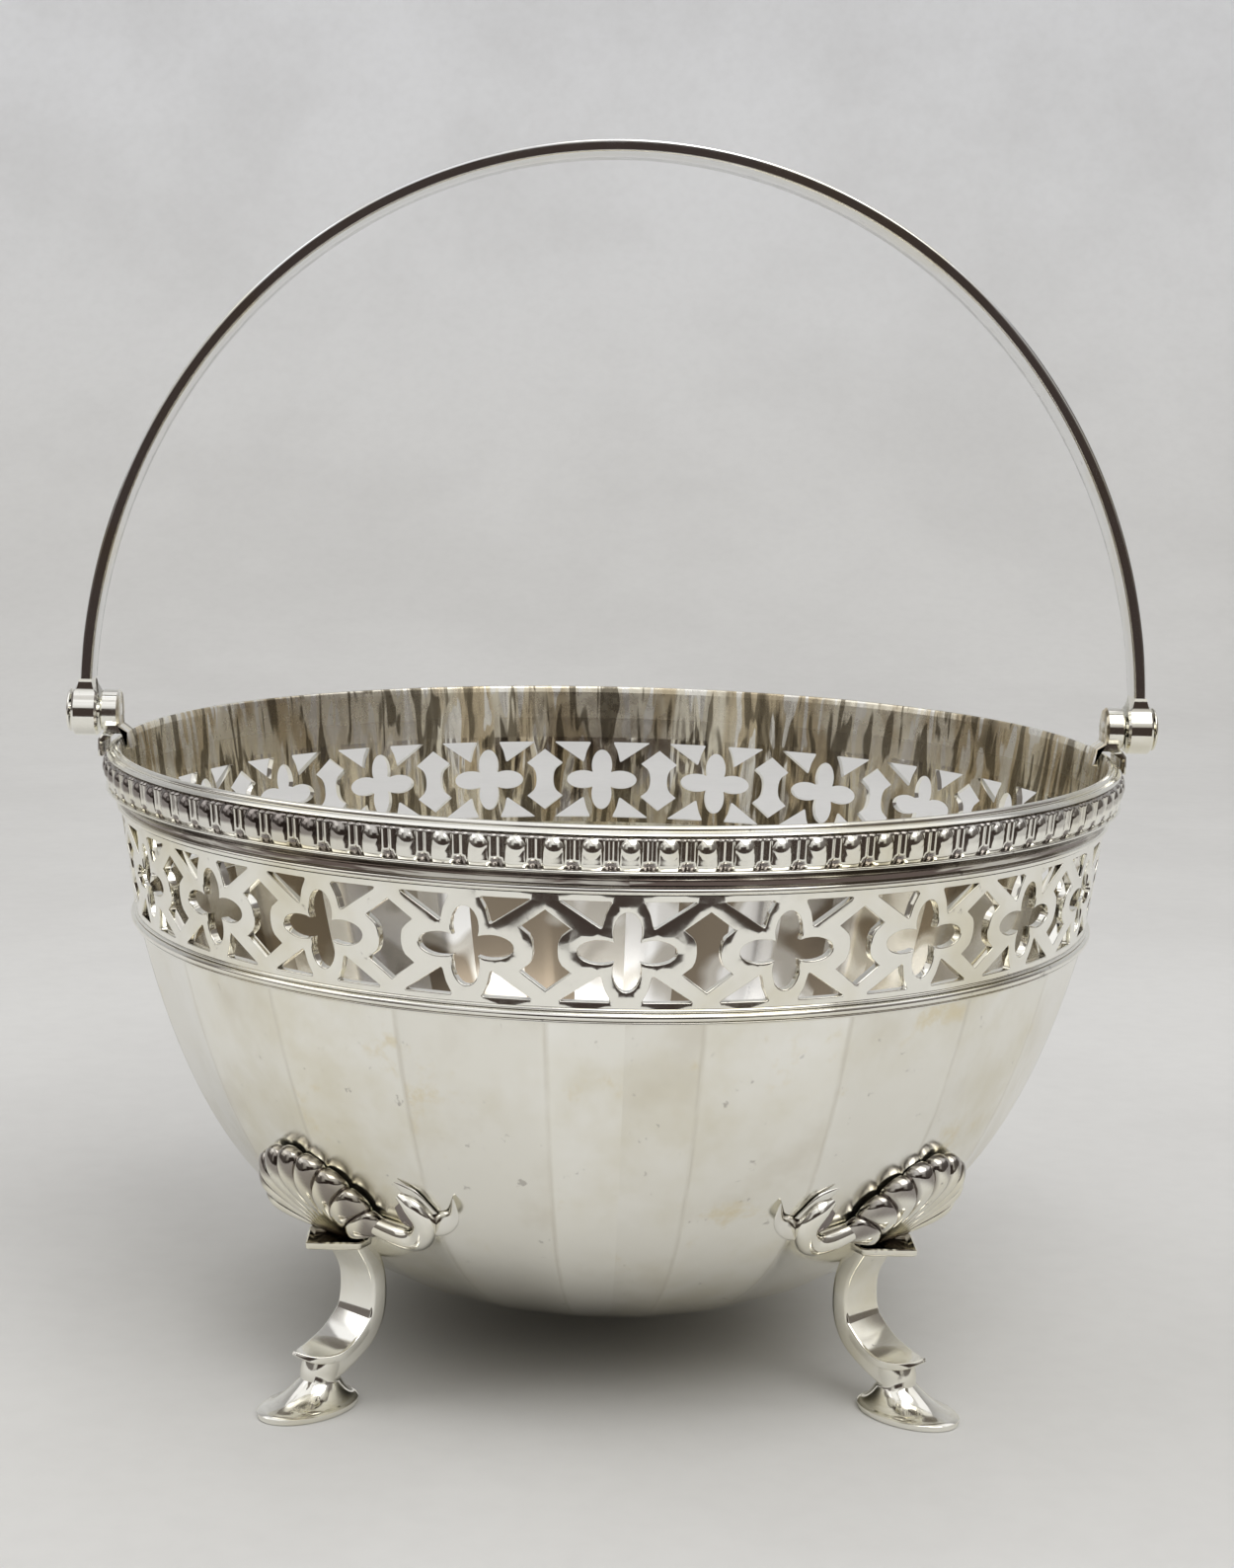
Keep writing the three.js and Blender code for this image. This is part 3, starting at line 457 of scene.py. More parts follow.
def bowl_curve(offset):
    """The bowl's profile from its middle to its top, moved outwards by an offset."""
    top = band_outer(BOWL_HIGH.z) + offset
    bottom = BOWL_LOW.z - offset
    return cubic(
        (0, bottom),
        (BASE_PULL, bottom),
        (top - WALL_SLOPE * WALL_PULL, BOWL_HIGH.z - WALL_PULL),
        (top, BOWL_HIGH.z),
        steps=44,
    )


def bowl_radius(z):
    """Outer radius of the bowl along a crease."""
    curve = bowl_curve(0)
    for low, high in zip(curve, curve[1:]):
        if high[1] >= z:
            share = (z - low[1]) / max(high[1] - low[1], 1e-9)
            return lerp(low[0], high[0], min(max(share, 0), 1))
    return curve[-1][0]


def panel_share(angle):
    """1 on a crease and less over the middle of a panel."""
    from_crease = 1 - abs((angle / CELL + 0.5) % 1 - 0.5) * 2
    soft = math.sqrt(from_crease * from_crease + CREASE_ROUNDING**2) - CREASE_ROUNDING
    from_middle = min(max(1 - soft, 0), 1)
    return 1 - PANEL_SINK * (1 - from_middle * from_middle)


def make_bowl():
    profile = bowl_curve(0) + bowl_curve(-BOWL_WALL)[::-1]
    steps = PANELS * 16
    angles = [2 * math.pi * k / steps for k in range(steps)]
    verts, faces = skin([ring_at(a, profile, panel_share(a)) for a in angles], closed_along=True)
    make_piece("silver_bowl", verts, faces, ["bowl_shell"], BOWL_SILVER, SHEET, sharp=60)


# Turned rings


def make_waist_wire():
    """A round reed between two flat edges, with a groove at each side of it."""
    low, high = WIRE_LOW.z, WIRE_HIGH.z
    reed, edge = 0.46, 0.2  # radii of the reed and of the rounded edges
    centre = WIRE_HIGH.x - 0.5
    groove, groove_rise = centre - 0.12, 0.42
    flat, edge_rise = centre - 0.25, 0.22
    outline = [(band_inner(low), low), (flat, low)]
    outline += arc(centre - 0.1, low + edge_rise, edge, -90, 60, 5)
    outline += [(groove, low + groove_rise)]
    outline += arc(centre, (low + high) / 2, reed, -75, 75, 10)
    outline += [(groove, high - groove_rise)]
    outline += arc(centre - 0.1, high - edge_rise, edge, -60, 90, 5)
    outline += [(flat, high), (band_inner(high), high)]
    make_piece("waist_wire_reed", *turned(outline), ["waist_wire"], SHEET_SILVER, SHEET)


def make_moulding():
    """A reed at the foot, a hollow that flares outwards and a rounded top edge."""
    low, high = BAND_HIGH.z, BORDER_LOW.z
    seat = band_outer(low)
    outer = BORDER_HIGH.x - 0.55
    reed, top_edge = 0.42, 0.18
    hollow_foot = seat + 0.12
    steps, flare = 8, 2.1
    outline = [(band_inner(low), low), (seat - 0.05, low)]
    outline += arc(seat + 0.1, low + 0.55, reed, -80, 80, 8)
    outline += [(seat + 0.06, low + 1.0)]
    for k in range(steps + 1):
        t = k / steps
        outline.append((lerp(hollow_foot, outer, t**flare), lerp(low + 1.05, high - 0.35, t)))
    outline += arc(outer - 0.02, high - 0.2, top_edge, -40, 60, 4)
    outline += [(outer - 0.15, high), (band_inner(high), high)]
    make_piece("rim_moulding_reed", *turned(outline), ["rim_moulding"], MOULDING_SILVER, SHEET)


def make_lip():
    """A flat flange with a round wire along its inner edge."""
    low, high = LIP_LOW.z, LIP_HIGH.z
    inner = band_inner(high)
    wire = 0.4
    outline = [(band_inner(low), low), (BORDER_HIGH.x - 0.5, low)]
    outline += [(inner + 1.4, low + 0.28), (inner + 0.98, low + 0.42), (inner + 0.9, high - wire - 0.08)]
    outline += arc(inner + wire, high - wire, wire, -10, 150, 12)
    outline += [(inner, high - wire)]
    make_piece("rim_lip_wire", *turned(outline), ["rim_lip"], RIM_SILVER, SHEET)


# Bead and reel border

# half widths and heights are shares of one unit and of the border's height, rises are lengths
BEAD_HALF, BEAD_V, BEAD_TALL, BEAD_RISE = 0.28, 0.61, 0.31, 0.75
# the block under each bead
BLOCK_HALF, BLOCK_TOP, BLOCK_FOOT_RISE, BLOCK_TOP_RISE = 0.27, 0.5, 0.22, 0.5
# the ground between the beads and the two thin ridges on it
GROUND_FOOT_RISE, GROUND_TOP_RISE = -0.02, 0.36
RIDGE_OFF, RIDGE_HALF, RIDGE_RISE = 0.115, 0.08, 0.2
# the notch between two blocks
NOTCH_HALF, NOTCH_TOP, NOTCH_LEAN, NOTCH_DEPTH = 0.22, 0.2, 0.25, 0.25
# shade painted into the notches between the blocks and along a thin line between the beads and the lip
NOTCH_SHADE, SEAM_SHADE = 0.85, 0.75


def border_relief(u, v):
    """Rise, painted shade and ridge of the ornament, with shade painted into the notches and along a line
    below the lip.

    u runs along one unit from the middle of a bead, and v runs up the border.
    """
    from_bead = abs((u + 0.5) % 1 - 0.5)
    from_notch = 0.5 - from_bead
    bead = BEAD_RISE * dome(math.hypot(from_bead / BEAD_HALF, (v - BEAD_V) / BEAD_TALL))
    block = dome(from_bead / BLOCK_HALF) ** 0.5 * (1 - rising(v, BLOCK_TOP, 0.12))
    block *= lerp(BLOCK_FOOT_RISE, BLOCK_TOP_RISE, smooth(v / BLOCK_TOP))
    ridge = dome((from_notch - RIDGE_OFF) / RIDGE_HALF)
    ground = lerp(GROUND_FOOT_RISE, GROUND_TOP_RISE, v) + RIDGE_RISE * ridge
    ground *= 1 - rising(v, 0.9, 0.1)
    notch = smooth((NOTCH_HALF - NOTCH_LEAN * v - from_notch) / 0.04) * (1 - rising(v, NOTCH_TOP, 0.06))
    seam = rising(v, 0.84, 0.06) * (1 - smooth(bead / 0.1))
    rise = max(bead, block, ground) - NOTCH_DEPTH * notch
    return rise, max(NOTCH_SHADE * notch, SEAM_SHADE * seam), ridge


def border_dark_reflection(side, v, ridge):
    """Painted dark reflection: the beads are darker at both ends of the hinge axis, more so on the left,
    and the ridges less.
    """
    left = rising(-side, 0.2, 0.4)
    right = rising(side, 0.4, 0.4)
    upper = rising(v, 0.34, 0.12)
    return (0.15 * left + upper * (0.7 * left + 0.45 * right)) * (1 - 0.8 * ridge)


def make_border():
    low, high = BORDER_LOW.z, BORDER_HIGH.z
    ground = BORDER_HIGH.x - BEAD_RISE
    edge_drop, edge_share, edge_gap = 0.25, 0.125, 0.02  # the ornament sinks towards both its edges
    per_unit, rows = 32, 24
    steps = BORDER_UNITS * per_unit
    rings, painted_shade = [], []
    for k in range(steps):
        a = 2 * math.pi * k / steps
        outline = [(band_inner(low), low), (ground - 0.55, low)]
        painted_shade += [0.0, 0.0]
        for i in range(rows + 1):
            v = i / rows
            rise, painted_shade_level, ridge = border_relief(k / per_unit, v)
            drop = edge_drop * (1 - min(1, min(v, 1 - v) / edge_share))
            outline.append((ground - drop + rise, lerp(low + edge_gap, high - edge_gap, v)))
            # painted shade from the relief, and painted dark reflections towards both ends of the hinge
            # axis
            painted_shade.append(max(painted_shade_level, border_dark_reflection(math.sin(a), v, ridge)))
        outline += [(ground - 0.2, high), (band_inner(high), high)]
        painted_shade += [0.0, 0.0]
        rings.append(ring_at(a, outline))
    verts, faces = skin(rings, closed_along=True)
    nodes = ["gadroon_border"]
    make_piece("bead_and_reel_border", verts, faces, nodes, RIM_SILVER, CAST, sharp=50, painted_shade=painted_shade)


# Pierced band: one flat cell with rounded opening edges, triangulated once, bent and copied

BAND_HEIGHT = BAND_HIGH.z - BAND_LOW.z
MID_Z = (BAND_HIGH.z + BAND_LOW.z) / 2
CELL_WIDTH = CELL * band_outer(MID_Z)
PIERCED = 11.2  # height of the pierced part
EDGE_STEPS = ((0.0, 0.0), (0.07, 0.01), (0.12, 0.05), (0.14, 0.14))  # (inset, depth) of a rounded edge
EDGE_INSET = EDGE_STEPS[-1][0]


def lobe(tip, width, cusp_along, cusp_across, steps=16):
    """Points of one lobe from cusp to cusp, along +x: an ellipse through both cusps."""
    half = width / 2
    rise = math.sqrt(1 - (cusp_across / half) ** 2)
    reach = (tip - cusp_along) / (1 + rise)
    start = math.pi - math.asin(cusp_across / half)
    points = []
    for k in range(steps):
        a = lerp(-start, start, k / steps)
        points.append((tip - reach + reach * math.cos(a), half * math.sin(a)))
    return points


def quatrefoil_loop():
    length, height = 10.7, 8.9
    side_width, upper_width = 2.7, 3.1
    cusp_x, cusp_z = 1.4, 1.1
    side = lobe(length / 2, side_width, cusp_x, cusp_z)
    upper = lobe(height / 2, upper_width, cusp_z, cusp_x)
    points = side + [(-b, a) for a, b in upper] + [(-a, -b) for a, b in side] + [(b, -a) for a, b in upper]
    return tidy_loop(points)


def tidy_loop(points, gap=0.12):
    """Drops points that lie too close to the one before."""
    kept = []
    for p in points:
        if not kept or math.dist(p, kept[-1]) > gap:
            kept.append(p)
    while len(kept) > 3 and math.dist(kept[0], kept[-1]) < gap:
        kept.pop()
    return kept


def neighbours(loop, i):
    """The point before, the point itself and the point after."""
    return [Vector(loop[(i + k) % len(loop)]) for k in (-1, 0, 1)]


def rounded(corners, radius, steps=4):
    """A polygon with each corner rounded by a short curve."""
    points = []
    for i in range(len(corners)):
        before, here, after = neighbours(corners, i)
        start = here + (before - here).normalized() * min(radius, (before - here).length * 0.45)
        end = here + (after - here).normalized() * min(radius, (after - here).length * 0.45)
        for k in range(steps + 1):
            t = k / steps
            points.append(tuple(start.lerp(here, t).lerp(here.lerp(end, t), t)))
    return points


def spandrel_loop(sign_x, sign_z):
    """The opening in one corner of a cell."""
    corners = [(1.65, PIERCED / 2), (7.3, PIERCED / 2), (2.75, 2.55), (2.35, 4.2)]
    if sign_x * sign_z > 0:
        corners.reverse()
    return rounded([(x * sign_x, z * sign_z) for x, z in corners], 0.35)


def spool_loop():
    """The whole spool opening, centred on a cell's edge."""
    half, shoulder_x, shoulder_z = 4.5, 2.75, 2.45
    waist_half, waist_steps = 1.3, 4
    steep = (shoulder_x - 0.35 - waist_half) * 0.55
    waist = []
    for k in range(1 - waist_steps, waist_steps):
        t = k / waist_steps
        waist.append((waist_half + steep * t**4 + 0.45 * t**2, t * (shoulder_z - 0.25)))
    right = [(0, -half), (shoulder_x, -shoulder_z)] + waist + [(shoulder_x, shoulder_z)]
    return right + [(-x, -z) for x, z in right]


def offset_loop(loop, distance):
    """Moves each point of an anticlockwise loop outwards."""
    moved = []
    for i in range(len(loop)):
        before, here, after = neighbours(loop, i)
        a = (here - before).normalized()
        b = (after - here).normalized()
        normal = Vector((a.y + b.y, -a.x - b.x))
        if normal.length < 1e-6:
            normal = Vector((a.y, -a.x))
        normal.normalize()
        stretch = 1 / max(0.45, normal.dot(Vector((a.y, -a.x))))
        moved.append(tuple(here + normal * distance * min(stretch, 1.6)))
    return moved


def inside(loop, x, y):
    hit = False
    for (x1, y1), (x2, y2) in zip(loop, loop[1:] + loop[:1]):
        if (y1 > y) != (y2 > y) and x < (x2 - x1) * (y - y1) / (y2 - y1) + x1:
            hit = not hit
    return hit


def anticlockwise(loop):
    area = sum(a[0] * b[1] - b[0] * a[1] for a, b in zip(loop, loop[1:] + loop[:1])) / 2
    return loop if area > 0 else loop[::-1]


def flat_sheet(loops):
    """Points and triangles of one flat cell, given its openings, the spool on its right edge last."""
    loops = loops + [[(x - CELL_WIDTH, z) for x, z in loops[-1]]]
    verts, edges = [], []
    for loop in loops:
        first = len(verts)
        verts += loop
        edges += [(first + i, first + (i + 1) % len(loop)) for i in range(len(loop))]
    # the sheet is laid out past the cell's edges, with points that stay clear of the openings
    columns, rows, clear = 28, 14, 0.3
    guards = [offset_loop(loop, clear) for loop in loops]
    for i in range(columns + 1):
        for j in range(rows + 1):
            x = lerp(-CELL_WIDTH, CELL_WIDTH, i / columns)
            z = lerp(-BAND_HEIGHT / 2, BAND_HEIGHT / 2, j / rows)
            if not any(inside(guard, x, z) for guard in guards):
                verts.append((x, z))
    result = delaunay_2d_cdt([Vector(v) for v in verts], edges, [], 0, 1e-5)
    points, triangles = result[0], result[2]
    kept = []
    for triangle in triangles:
        x = sum(points[i].x for i in triangle) / 3
        z = sum(points[i].y for i in triangle) / 3
        in_cell = -CELL_WIDTH / 2 <= x < CELL_WIDTH / 2
        if in_cell and not any(inside(loop, x, z) for loop in loops):
            kept.append(triangle)
    return points, kept


def on_band(x, z, depth, cell):
    """A point of the flat cell, bent round the basket into the place of a numbered cell."""
    a = (cell + x / CELL_WIDTH) * CELL
    r = band_outer(MID_Z + z) - depth
    return (r * math.sin(a), -r * math.cos(a), MID_Z + z)


def make_band():
    openings = [quatrefoil_loop()]
    openings += [spandrel_loop(sx, sz) for sx in (1, -1) for sz in (1, -1)]
    openings += [[(x + CELL_WIDTH / 2, z) for x, z in spool_loop()]]
    openings = [anticlockwise(loop) for loop in openings]
    form = Form()
    for widen, depth in ((EDGE_INSET, 0.0), (0.0, BAND_SHEET)):
        points, triangles = flat_sheet([offset_loop(loop, widen) for loop in openings])
        for cell in range(PANELS):
            form.take([on_band(p.x, p.y, depth, cell) for p in points], triangles)
    for loop in openings:
        rings = []
        for inset, depth in EDGE_STEPS:
            rings.append([(x, z, depth) for x, z in offset_loop(loop, EDGE_INSET - inset)])
        rings.append([(x, z, BAND_SHEET) for x, z in loop])
        for cell in range(PANELS):
            form.take(*skin([[on_band(*p, cell) for p in ring] for ring in rings], caps=False))
    nodes = ["pierced_band"]
    make_piece("pierced_sheet", form.verts, form.faces, nodes, BAND_SILVER, SHEET, sharp=44)


# Hinges, built for the right side

LUG_GAP = 0.3  # room for solder between lug and rim
NECK_WIDTH = 4.2
BARREL_RADIUS, BARREL_LENGTH, BARREL_CHAMFER = 2.7, 2.4, 0.3
PIN_RADIUS = 0.99


def turned_x(sections):
    """Sections of (radius, x) turned about the hinge axis."""
    return skin([[(x, r * c, HINGE_Z + r * s) for c, s in circle(steps=32)] for r, x in sections])


def extruded_y(outline, width, chamfer):
    """An outline of (x, z) with thickness along y and chamfered rims."""
    loop = anticlockwise(outline)
    inner = offset_loop(loop, -chamfer)
    half = width / 2
    rings = []
    for ring, y in ((inner, -half), (loop, -half + chamfer), (loop, half - chamfer), (inner, half)):
        rings.append([(x, y, z) for x, z in ring])
    return skin(rings)


def hinge_lug_form():
    """A neck over the lip, an apron down the border and the barrel that holds the pin."""
    outer = LUG_HIGH.x
    lip_top = LIP_HIGH.z + LUG_GAP
    lip_in = band_inner(LIP_HIGH.z) - LUG_GAP
    border = BORDER_HIGH.x + LUG_GAP
    tongue = LIP_HIGH.z - 1.6
    neck = [
        (LUG_LOW.x, tongue),
        (lip_in, tongue),
        (lip_in, lip_top),
        (outer - 0.5, lip_top),
        (outer - 0.75, lip_top + 0.9),
        (outer - 0.5, HINGE_Z),
        (outer - 2.35, HINGE_Z),
        (outer - 2.5, lip_top + 1.0),
        (LUG_LOW.x + 0.5, lip_top + 0.2),
    ]
    apron = [
        (lip_in + 1.4, lip_top),
        (border, LIP_LOW.z + LUG_GAP),
        (border, LUG_LOW.z),
        (outer, LUG_LOW.z),
        (outer, LIP_HIGH.z - 0.2),
        (outer - 0.6, lip_top + 0.3),
    ]
    start = outer - BARREL_LENGTH
    barrel = [
        (BARREL_RADIUS - BARREL_CHAMFER, start),
        (BARREL_RADIUS, start + BARREL_CHAMFER),
        (BARREL_RADIUS, outer - BARREL_CHAMFER),
        (BARREL_RADIUS - BARREL_CHAMFER, outer),
    ]
    return joined(
        extruded_y(neck, NECK_WIDTH, chamfer=0.2),
        extruded_y(apron, LUG_HIGH.y - LUG_LOW.y, chamfer=0.25),
        turned_x(barrel),
    )


def knuckle_form():
    """A barrel round the pin whose sides rise into the foot of the strap."""
    radius = HINGE_Z - KNUCKLE_LOW.z
    top = KNUCKLE_HIGH.z - HINGE_Z
    half = STRAP_END / 2
    spring = 0.75  # angle at which the sides leave the barrel
    barrel_steps, side_steps = 28, 6
    outline = []
    for k in range(barrel_steps + 1):
        a = lerp(math.pi - spring, 2 * math.pi + spring, k / barrel_steps)
        outline.append((radius * math.cos(a), radius * math.sin(a)))
    shoulder = Vector((radius * math.cos(spring), radius * math.sin(spring)))
    waist = Vector((half * 0.85, (shoulder.y + top) / 2))
    end = Vector((half, top))
    side = []
    for k in range(1, side_steps + 1):
        t = k / side_steps
        side.append(tuple(shoulder.lerp(waist, t).lerp(waist.lerp(end, t), t)))
    outline += side + [(-y, z) for y, z in reversed(side)]
    chamfer = 0.3
    loop = anticlockwise(outline)
    inner = [(y, min(z, top)) for y, z in offset_loop(loop, -chamfer)]
    x0, x1 = KNUCKLE_LOW.x, KNUCKLE_HIGH.x
    strap = STRAP_HIGH.x - STRAP_THICK / 2
    flare = radius * 0.82  # above this height the sides draw in to the thickness of the strap
    rings = []
    for ring, x in ((inner, x0), (loop, x0 + chamfer), (loop, x1 - chamfer), (inner, x1)):
        near = strap + math.copysign(STRAP_THICK / 2, x - strap)
        shares = [min(max((z - flare) / (top - flare), 0.0), 1.0) ** 0.5 for y, z in ring]
        rings.append([(lerp(x, near, share), y, HINGE_Z + z) for share, (y, z) in zip(shares, ring)])
    return joined(skin(rings))


def pin_form():
    """A shank with a domed head."""
    head = PIN_HIGH.y
    base = KNUCKLE_HIGH.x + 0.3
    edge = base + 0.12
    sections = [(PIN_RADIUS, PIN_LOW.x), (PIN_RADIUS, base), (head, base), (head, edge)]
    steps = 6
    for k in range(1, steps):
        a = math.pi / 2 * k / steps
        sections.append((head * math.cos(a), lerp(edge, PIN_HIGH.x, math.sin(a))))
    return joined(turned_x(sections))


def make_hinges():
    kinds = (
        ("hinge_lug", "lug_casting", hinge_lug_form(), RIM_SILVER, CAST, "basket"),
        ("handle_knuckle", "knuckle_casting", knuckle_form(), CAST_SILVER, CAST, "handle"),
        ("hinge_pin", "pin_head", pin_form(), SHEET_SILVER, SHEET, "basket"),
    )
    for node, name, form, material, slot, body in kinds:
        for side, turn in (("right", 0.0), ("left", math.pi)):
            place = Matrix.Rotation(turn, 4, "Z")
            verts = [place @ v for v in form.verts]
            make_piece(f"{side}_{name}", verts, form.faces, [f"{side}_{node}"], material, slot, body)


# Handle strap

STRAP_TOP = STRAP_HIGH.y - STRAP_LOW.y
STRAP_SPAN = STRAP_HIGH.x - STRAP_THICK / 2
STRAP_RISE = STRAP_HIGH.z - HINGE_Z - STRAP_THICK / 2


def rounded_corners(steps):
    """Signs, cosine and sine along the four rounded corners of a bar, in order round it."""
    corners = []
    for across, out in ((1, 1), (-1, 1), (-1, -1), (1, -1)):
        for k in range(steps + 1):
            a = math.pi / 2 * k / steps
            if across * out < 0:
                a = math.pi / 2 - a
            corners.append((across, out, math.cos(a), math.sin(a)))
    return corners


def strap_section(angle):
    """The strap's rounded section, wider towards the top of the handle."""
    centre = Vector((STRAP_SPAN * math.cos(angle), 0, HINGE_Z + STRAP_RISE * math.sin(angle)))
    outward = Vector((STRAP_RISE * math.cos(angle), 0, STRAP_SPAN * math.sin(angle))).normalized()
    edge = 0.32
    half = lerp(STRAP_END, STRAP_TOP, math.sin(angle) ** 1.4) / 2 - edge
    depth = STRAP_THICK / 2 - edge
    points = []
    for across, out, c, s in rounded_corners(steps=4):
        sideways = Vector((0, across * (half + edge * c), 0))
        points.append(centre + outward * out * (depth + edge * s) + sideways)
    return points


def make_strap():
    start = math.asin((STRAP_LOW.z - HINGE_Z) / STRAP_RISE)
    steps = 160
    rings = [strap_section(lerp(start, math.pi - start, k / steps)) for k in range(steps + 1)]
    for ring in (rings[0], rings[-1]):
        for p in ring:
            p.z = STRAP_LOW.z
    make_piece("handle_band", *skin(rings), ["handle_strap"], STRAP_SILVER, SHEET, "handle", sharp=60)


# Feet, built along +X: x runs outwards from the axis, y across the foot

LEDGE_Z, LEDGE_THICK, LEDGE_HALF = 19.5, 0.9, 4.5
SEAT = bowl_radius(LEDGE_Z)
LEDGE_X = SEAT + 6.95
PAD_CENTRE, PAD_LONG, PAD_WIDE, PAD_EDGE = SEAT + 6.4, 13.6, 9.0, 0.9
ANKLE_X, ANKLE_Z, ANKLE_RADIUS = SEAT + 4.6, 3.5, 2.35
LEG_FACE, LEG_WIDTH, LEG_THICK = SEAT - 0.95, 6.2, 2.3
SPUR_X, SPUR_Z = SEAT + 8.6, 7.3
LOBES = 9
SHELL_FOOT, SHELL_RADIUS, SHELL_ARC, SHELL_CENTRE = 2.2, 10.15, 88, 2.9
SHELL_GAP, SHELL_EDGE, SHELL_SWELL, SHELL_SCALLOP = 0.3, 0.5, 1.53, 0.8
# strength of the painted shade and painted dark reflection on the shell
SHELL_SHADE = 0.78


def blend(a, b, c, d, t):
    """A smooth curve from b to c, with a before and d after it."""
    bend = 2 * a - 5 * b + 4 * c - d
    twist = 3 * b - a - 3 * c + d
    return 0.5 * (2 * b + (c - a) * t + bend * t * t + twist * t**3)


def spline(keys, steps):
    """Points on a smooth curve through the keys, each a tuple of numbers."""
    points = []
    last = len(keys) - 1
    for k in range(last):
        p0, p1, p2, p3 = (keys[min(max(k + d, 0), last)] for d in (-1, 0, 1, 2))
        for i in range(steps if k < last - 1 else steps + 1):
            t = i / steps
            points.append(tuple(blend(*four, t) for four in zip(p0, p1, p2, p3)))
    return points


def hoof():
    """An oval pad whose top sweeps up into a round ankle."""
    long, wide = PAD_LONG / 2, PAD_WIDE / 2
    under, over = 0.15, 0.25  # how far the pad's lower and upper edges draw in
    keys = [
        (PAD_CENTRE, 0, long - under, wide - under),
        (PAD_CENTRE, under, long, wide),
        (PAD_CENTRE, PAD_EDGE - 0.2, long, wide),
        (PAD_CENTRE, PAD_EDGE, long - over, wide - over),
    ]
    steps = 12
    for k in range(1, steps + 1):
        t = k / steps
        keys.append((
            lerp(PAD_CENTRE, ANKLE_X, t),
            lerp(PAD_EDGE, ANKLE_Z, t**1.7),
            lerp(long - over, ANKLE_RADIUS, t),
            lerp(wide - over, ANKLE_RADIUS * 0.95, t),
        ))
    # the ankle goes on into the leg
    keys.append((ANKLE_X - 0.2, ANKLE_Z + 1.0, ANKLE_RADIUS + 0.2, ANKLE_RADIUS + 0.1))
    keys.append((ANKLE_X - 0.8, ANKLE_Z + 2.2, ANKLE_RADIUS + 0.4, ANKLE_RADIUS + 0.2))
    return skin([[(x + a * c, b * s, z) for c, s in circle(steps=40)] for x, z, a, b in keys])


def bar_along(keys):
    """A flat bar with round edges, whose keys are (x, z, width, thickness)."""
    points = spline(keys, steps=8)
    rings = []
    for i, (x, z, width, thick) in enumerate(points):
        before = points[max(i - 1, 0)]
        after = points[min(i + 1, len(points) - 1)]
        along = Vector((after[0] - before[0], 0, after[1] - before[1])).normalized()
        normal = Vector((along.z, 0, -along.x))
        ring = []
        for across, out, c, s in rounded_corners(steps=5):
            side = Vector((x, across * (0.88 + 0.12 * c) * width / 2, z))
            ring.append(side + normal * (out * (0.6 + 0.4 * s) * thick / 2))
        rings.append(ring)
    return skin(rings)


def leg():
    """The leg curves inwards from the ankle and out again under the ledge."""
    x = LEG_FACE - LEG_THICK / 2
    return bar_along([
        (ANKLE_X, ANKLE_Z + 0.8, LEG_WIDTH * 0.72, LEG_THICK),
        (ANKLE_X - 2.6, SPUR_Z - 1.3, LEG_WIDTH * 0.92, LEG_THICK),
        (x + 1.4, SPUR_Z + 0.9, LEG_WIDTH, LEG_THICK),
        (x + 0.1, 11.2, LEG_WIDTH, LEG_THICK),
        (x + 0.3, lerp(ANKLE_Z, LEDGE_Z, 0.75), LEG_WIDTH, LEG_THICK),
        (x + 2.6, LEDGE_Z + LEDGE_THICK / 2, LEG_WIDTH + 0.6, LEG_THICK + 0.4),
    ])


def spur():
    """The spur runs down the face of the leg and sweeps up to a point in front of it."""
    reach = SPUR_X - LEG_FACE
    return bar_along([
        (SPUR_X, SPUR_Z, 0.4, 0.4),
        (LEG_FACE + reach * 0.8, SPUR_Z - 0.9, LEG_WIDTH * 0.6, 0.9),
        (LEG_FACE + reach * 0.5, SPUR_Z - 0.9, LEG_WIDTH * 0.98, 1.1),
        (LEG_FACE + reach * 0.2, SPUR_Z + 0.5, LEG_WIDTH, 1.2),
        (LEG_FACE - LEG_THICK / 2, SPUR_Z + 3.6, LEG_WIDTH, 1.2),
    ])


def ledge():
    """A thin shelf, pointed towards the front and dished on top."""
    inner = LEG_FACE - LEG_THICK
    top = LEDGE_Z + LEDGE_THICK
    corners = [
        (LEDGE_X, 0),
        (LEDGE_X - LEDGE_HALF, LEDGE_HALF),
        (inner, LEDGE_HALF - 1),
        (inner, 1 - LEDGE_HALF),
        (LEDGE_X - LEDGE_HALF, -LEDGE_HALF),
    ]
    loop = anticlockwise(rounded(corners, 0.5, 5))
    edge = offset_loop(loop, -0.2)
    dish = offset_loop(loop, -0.75)
    levels = ((edge, LEDGE_Z), (loop, LEDGE_Z + 0.2), (loop, top - 0.12), (edge, top), (dish, top - 0.35))
    return skin([[(x, y, z) for x, y in ring] for ring, z in levels])


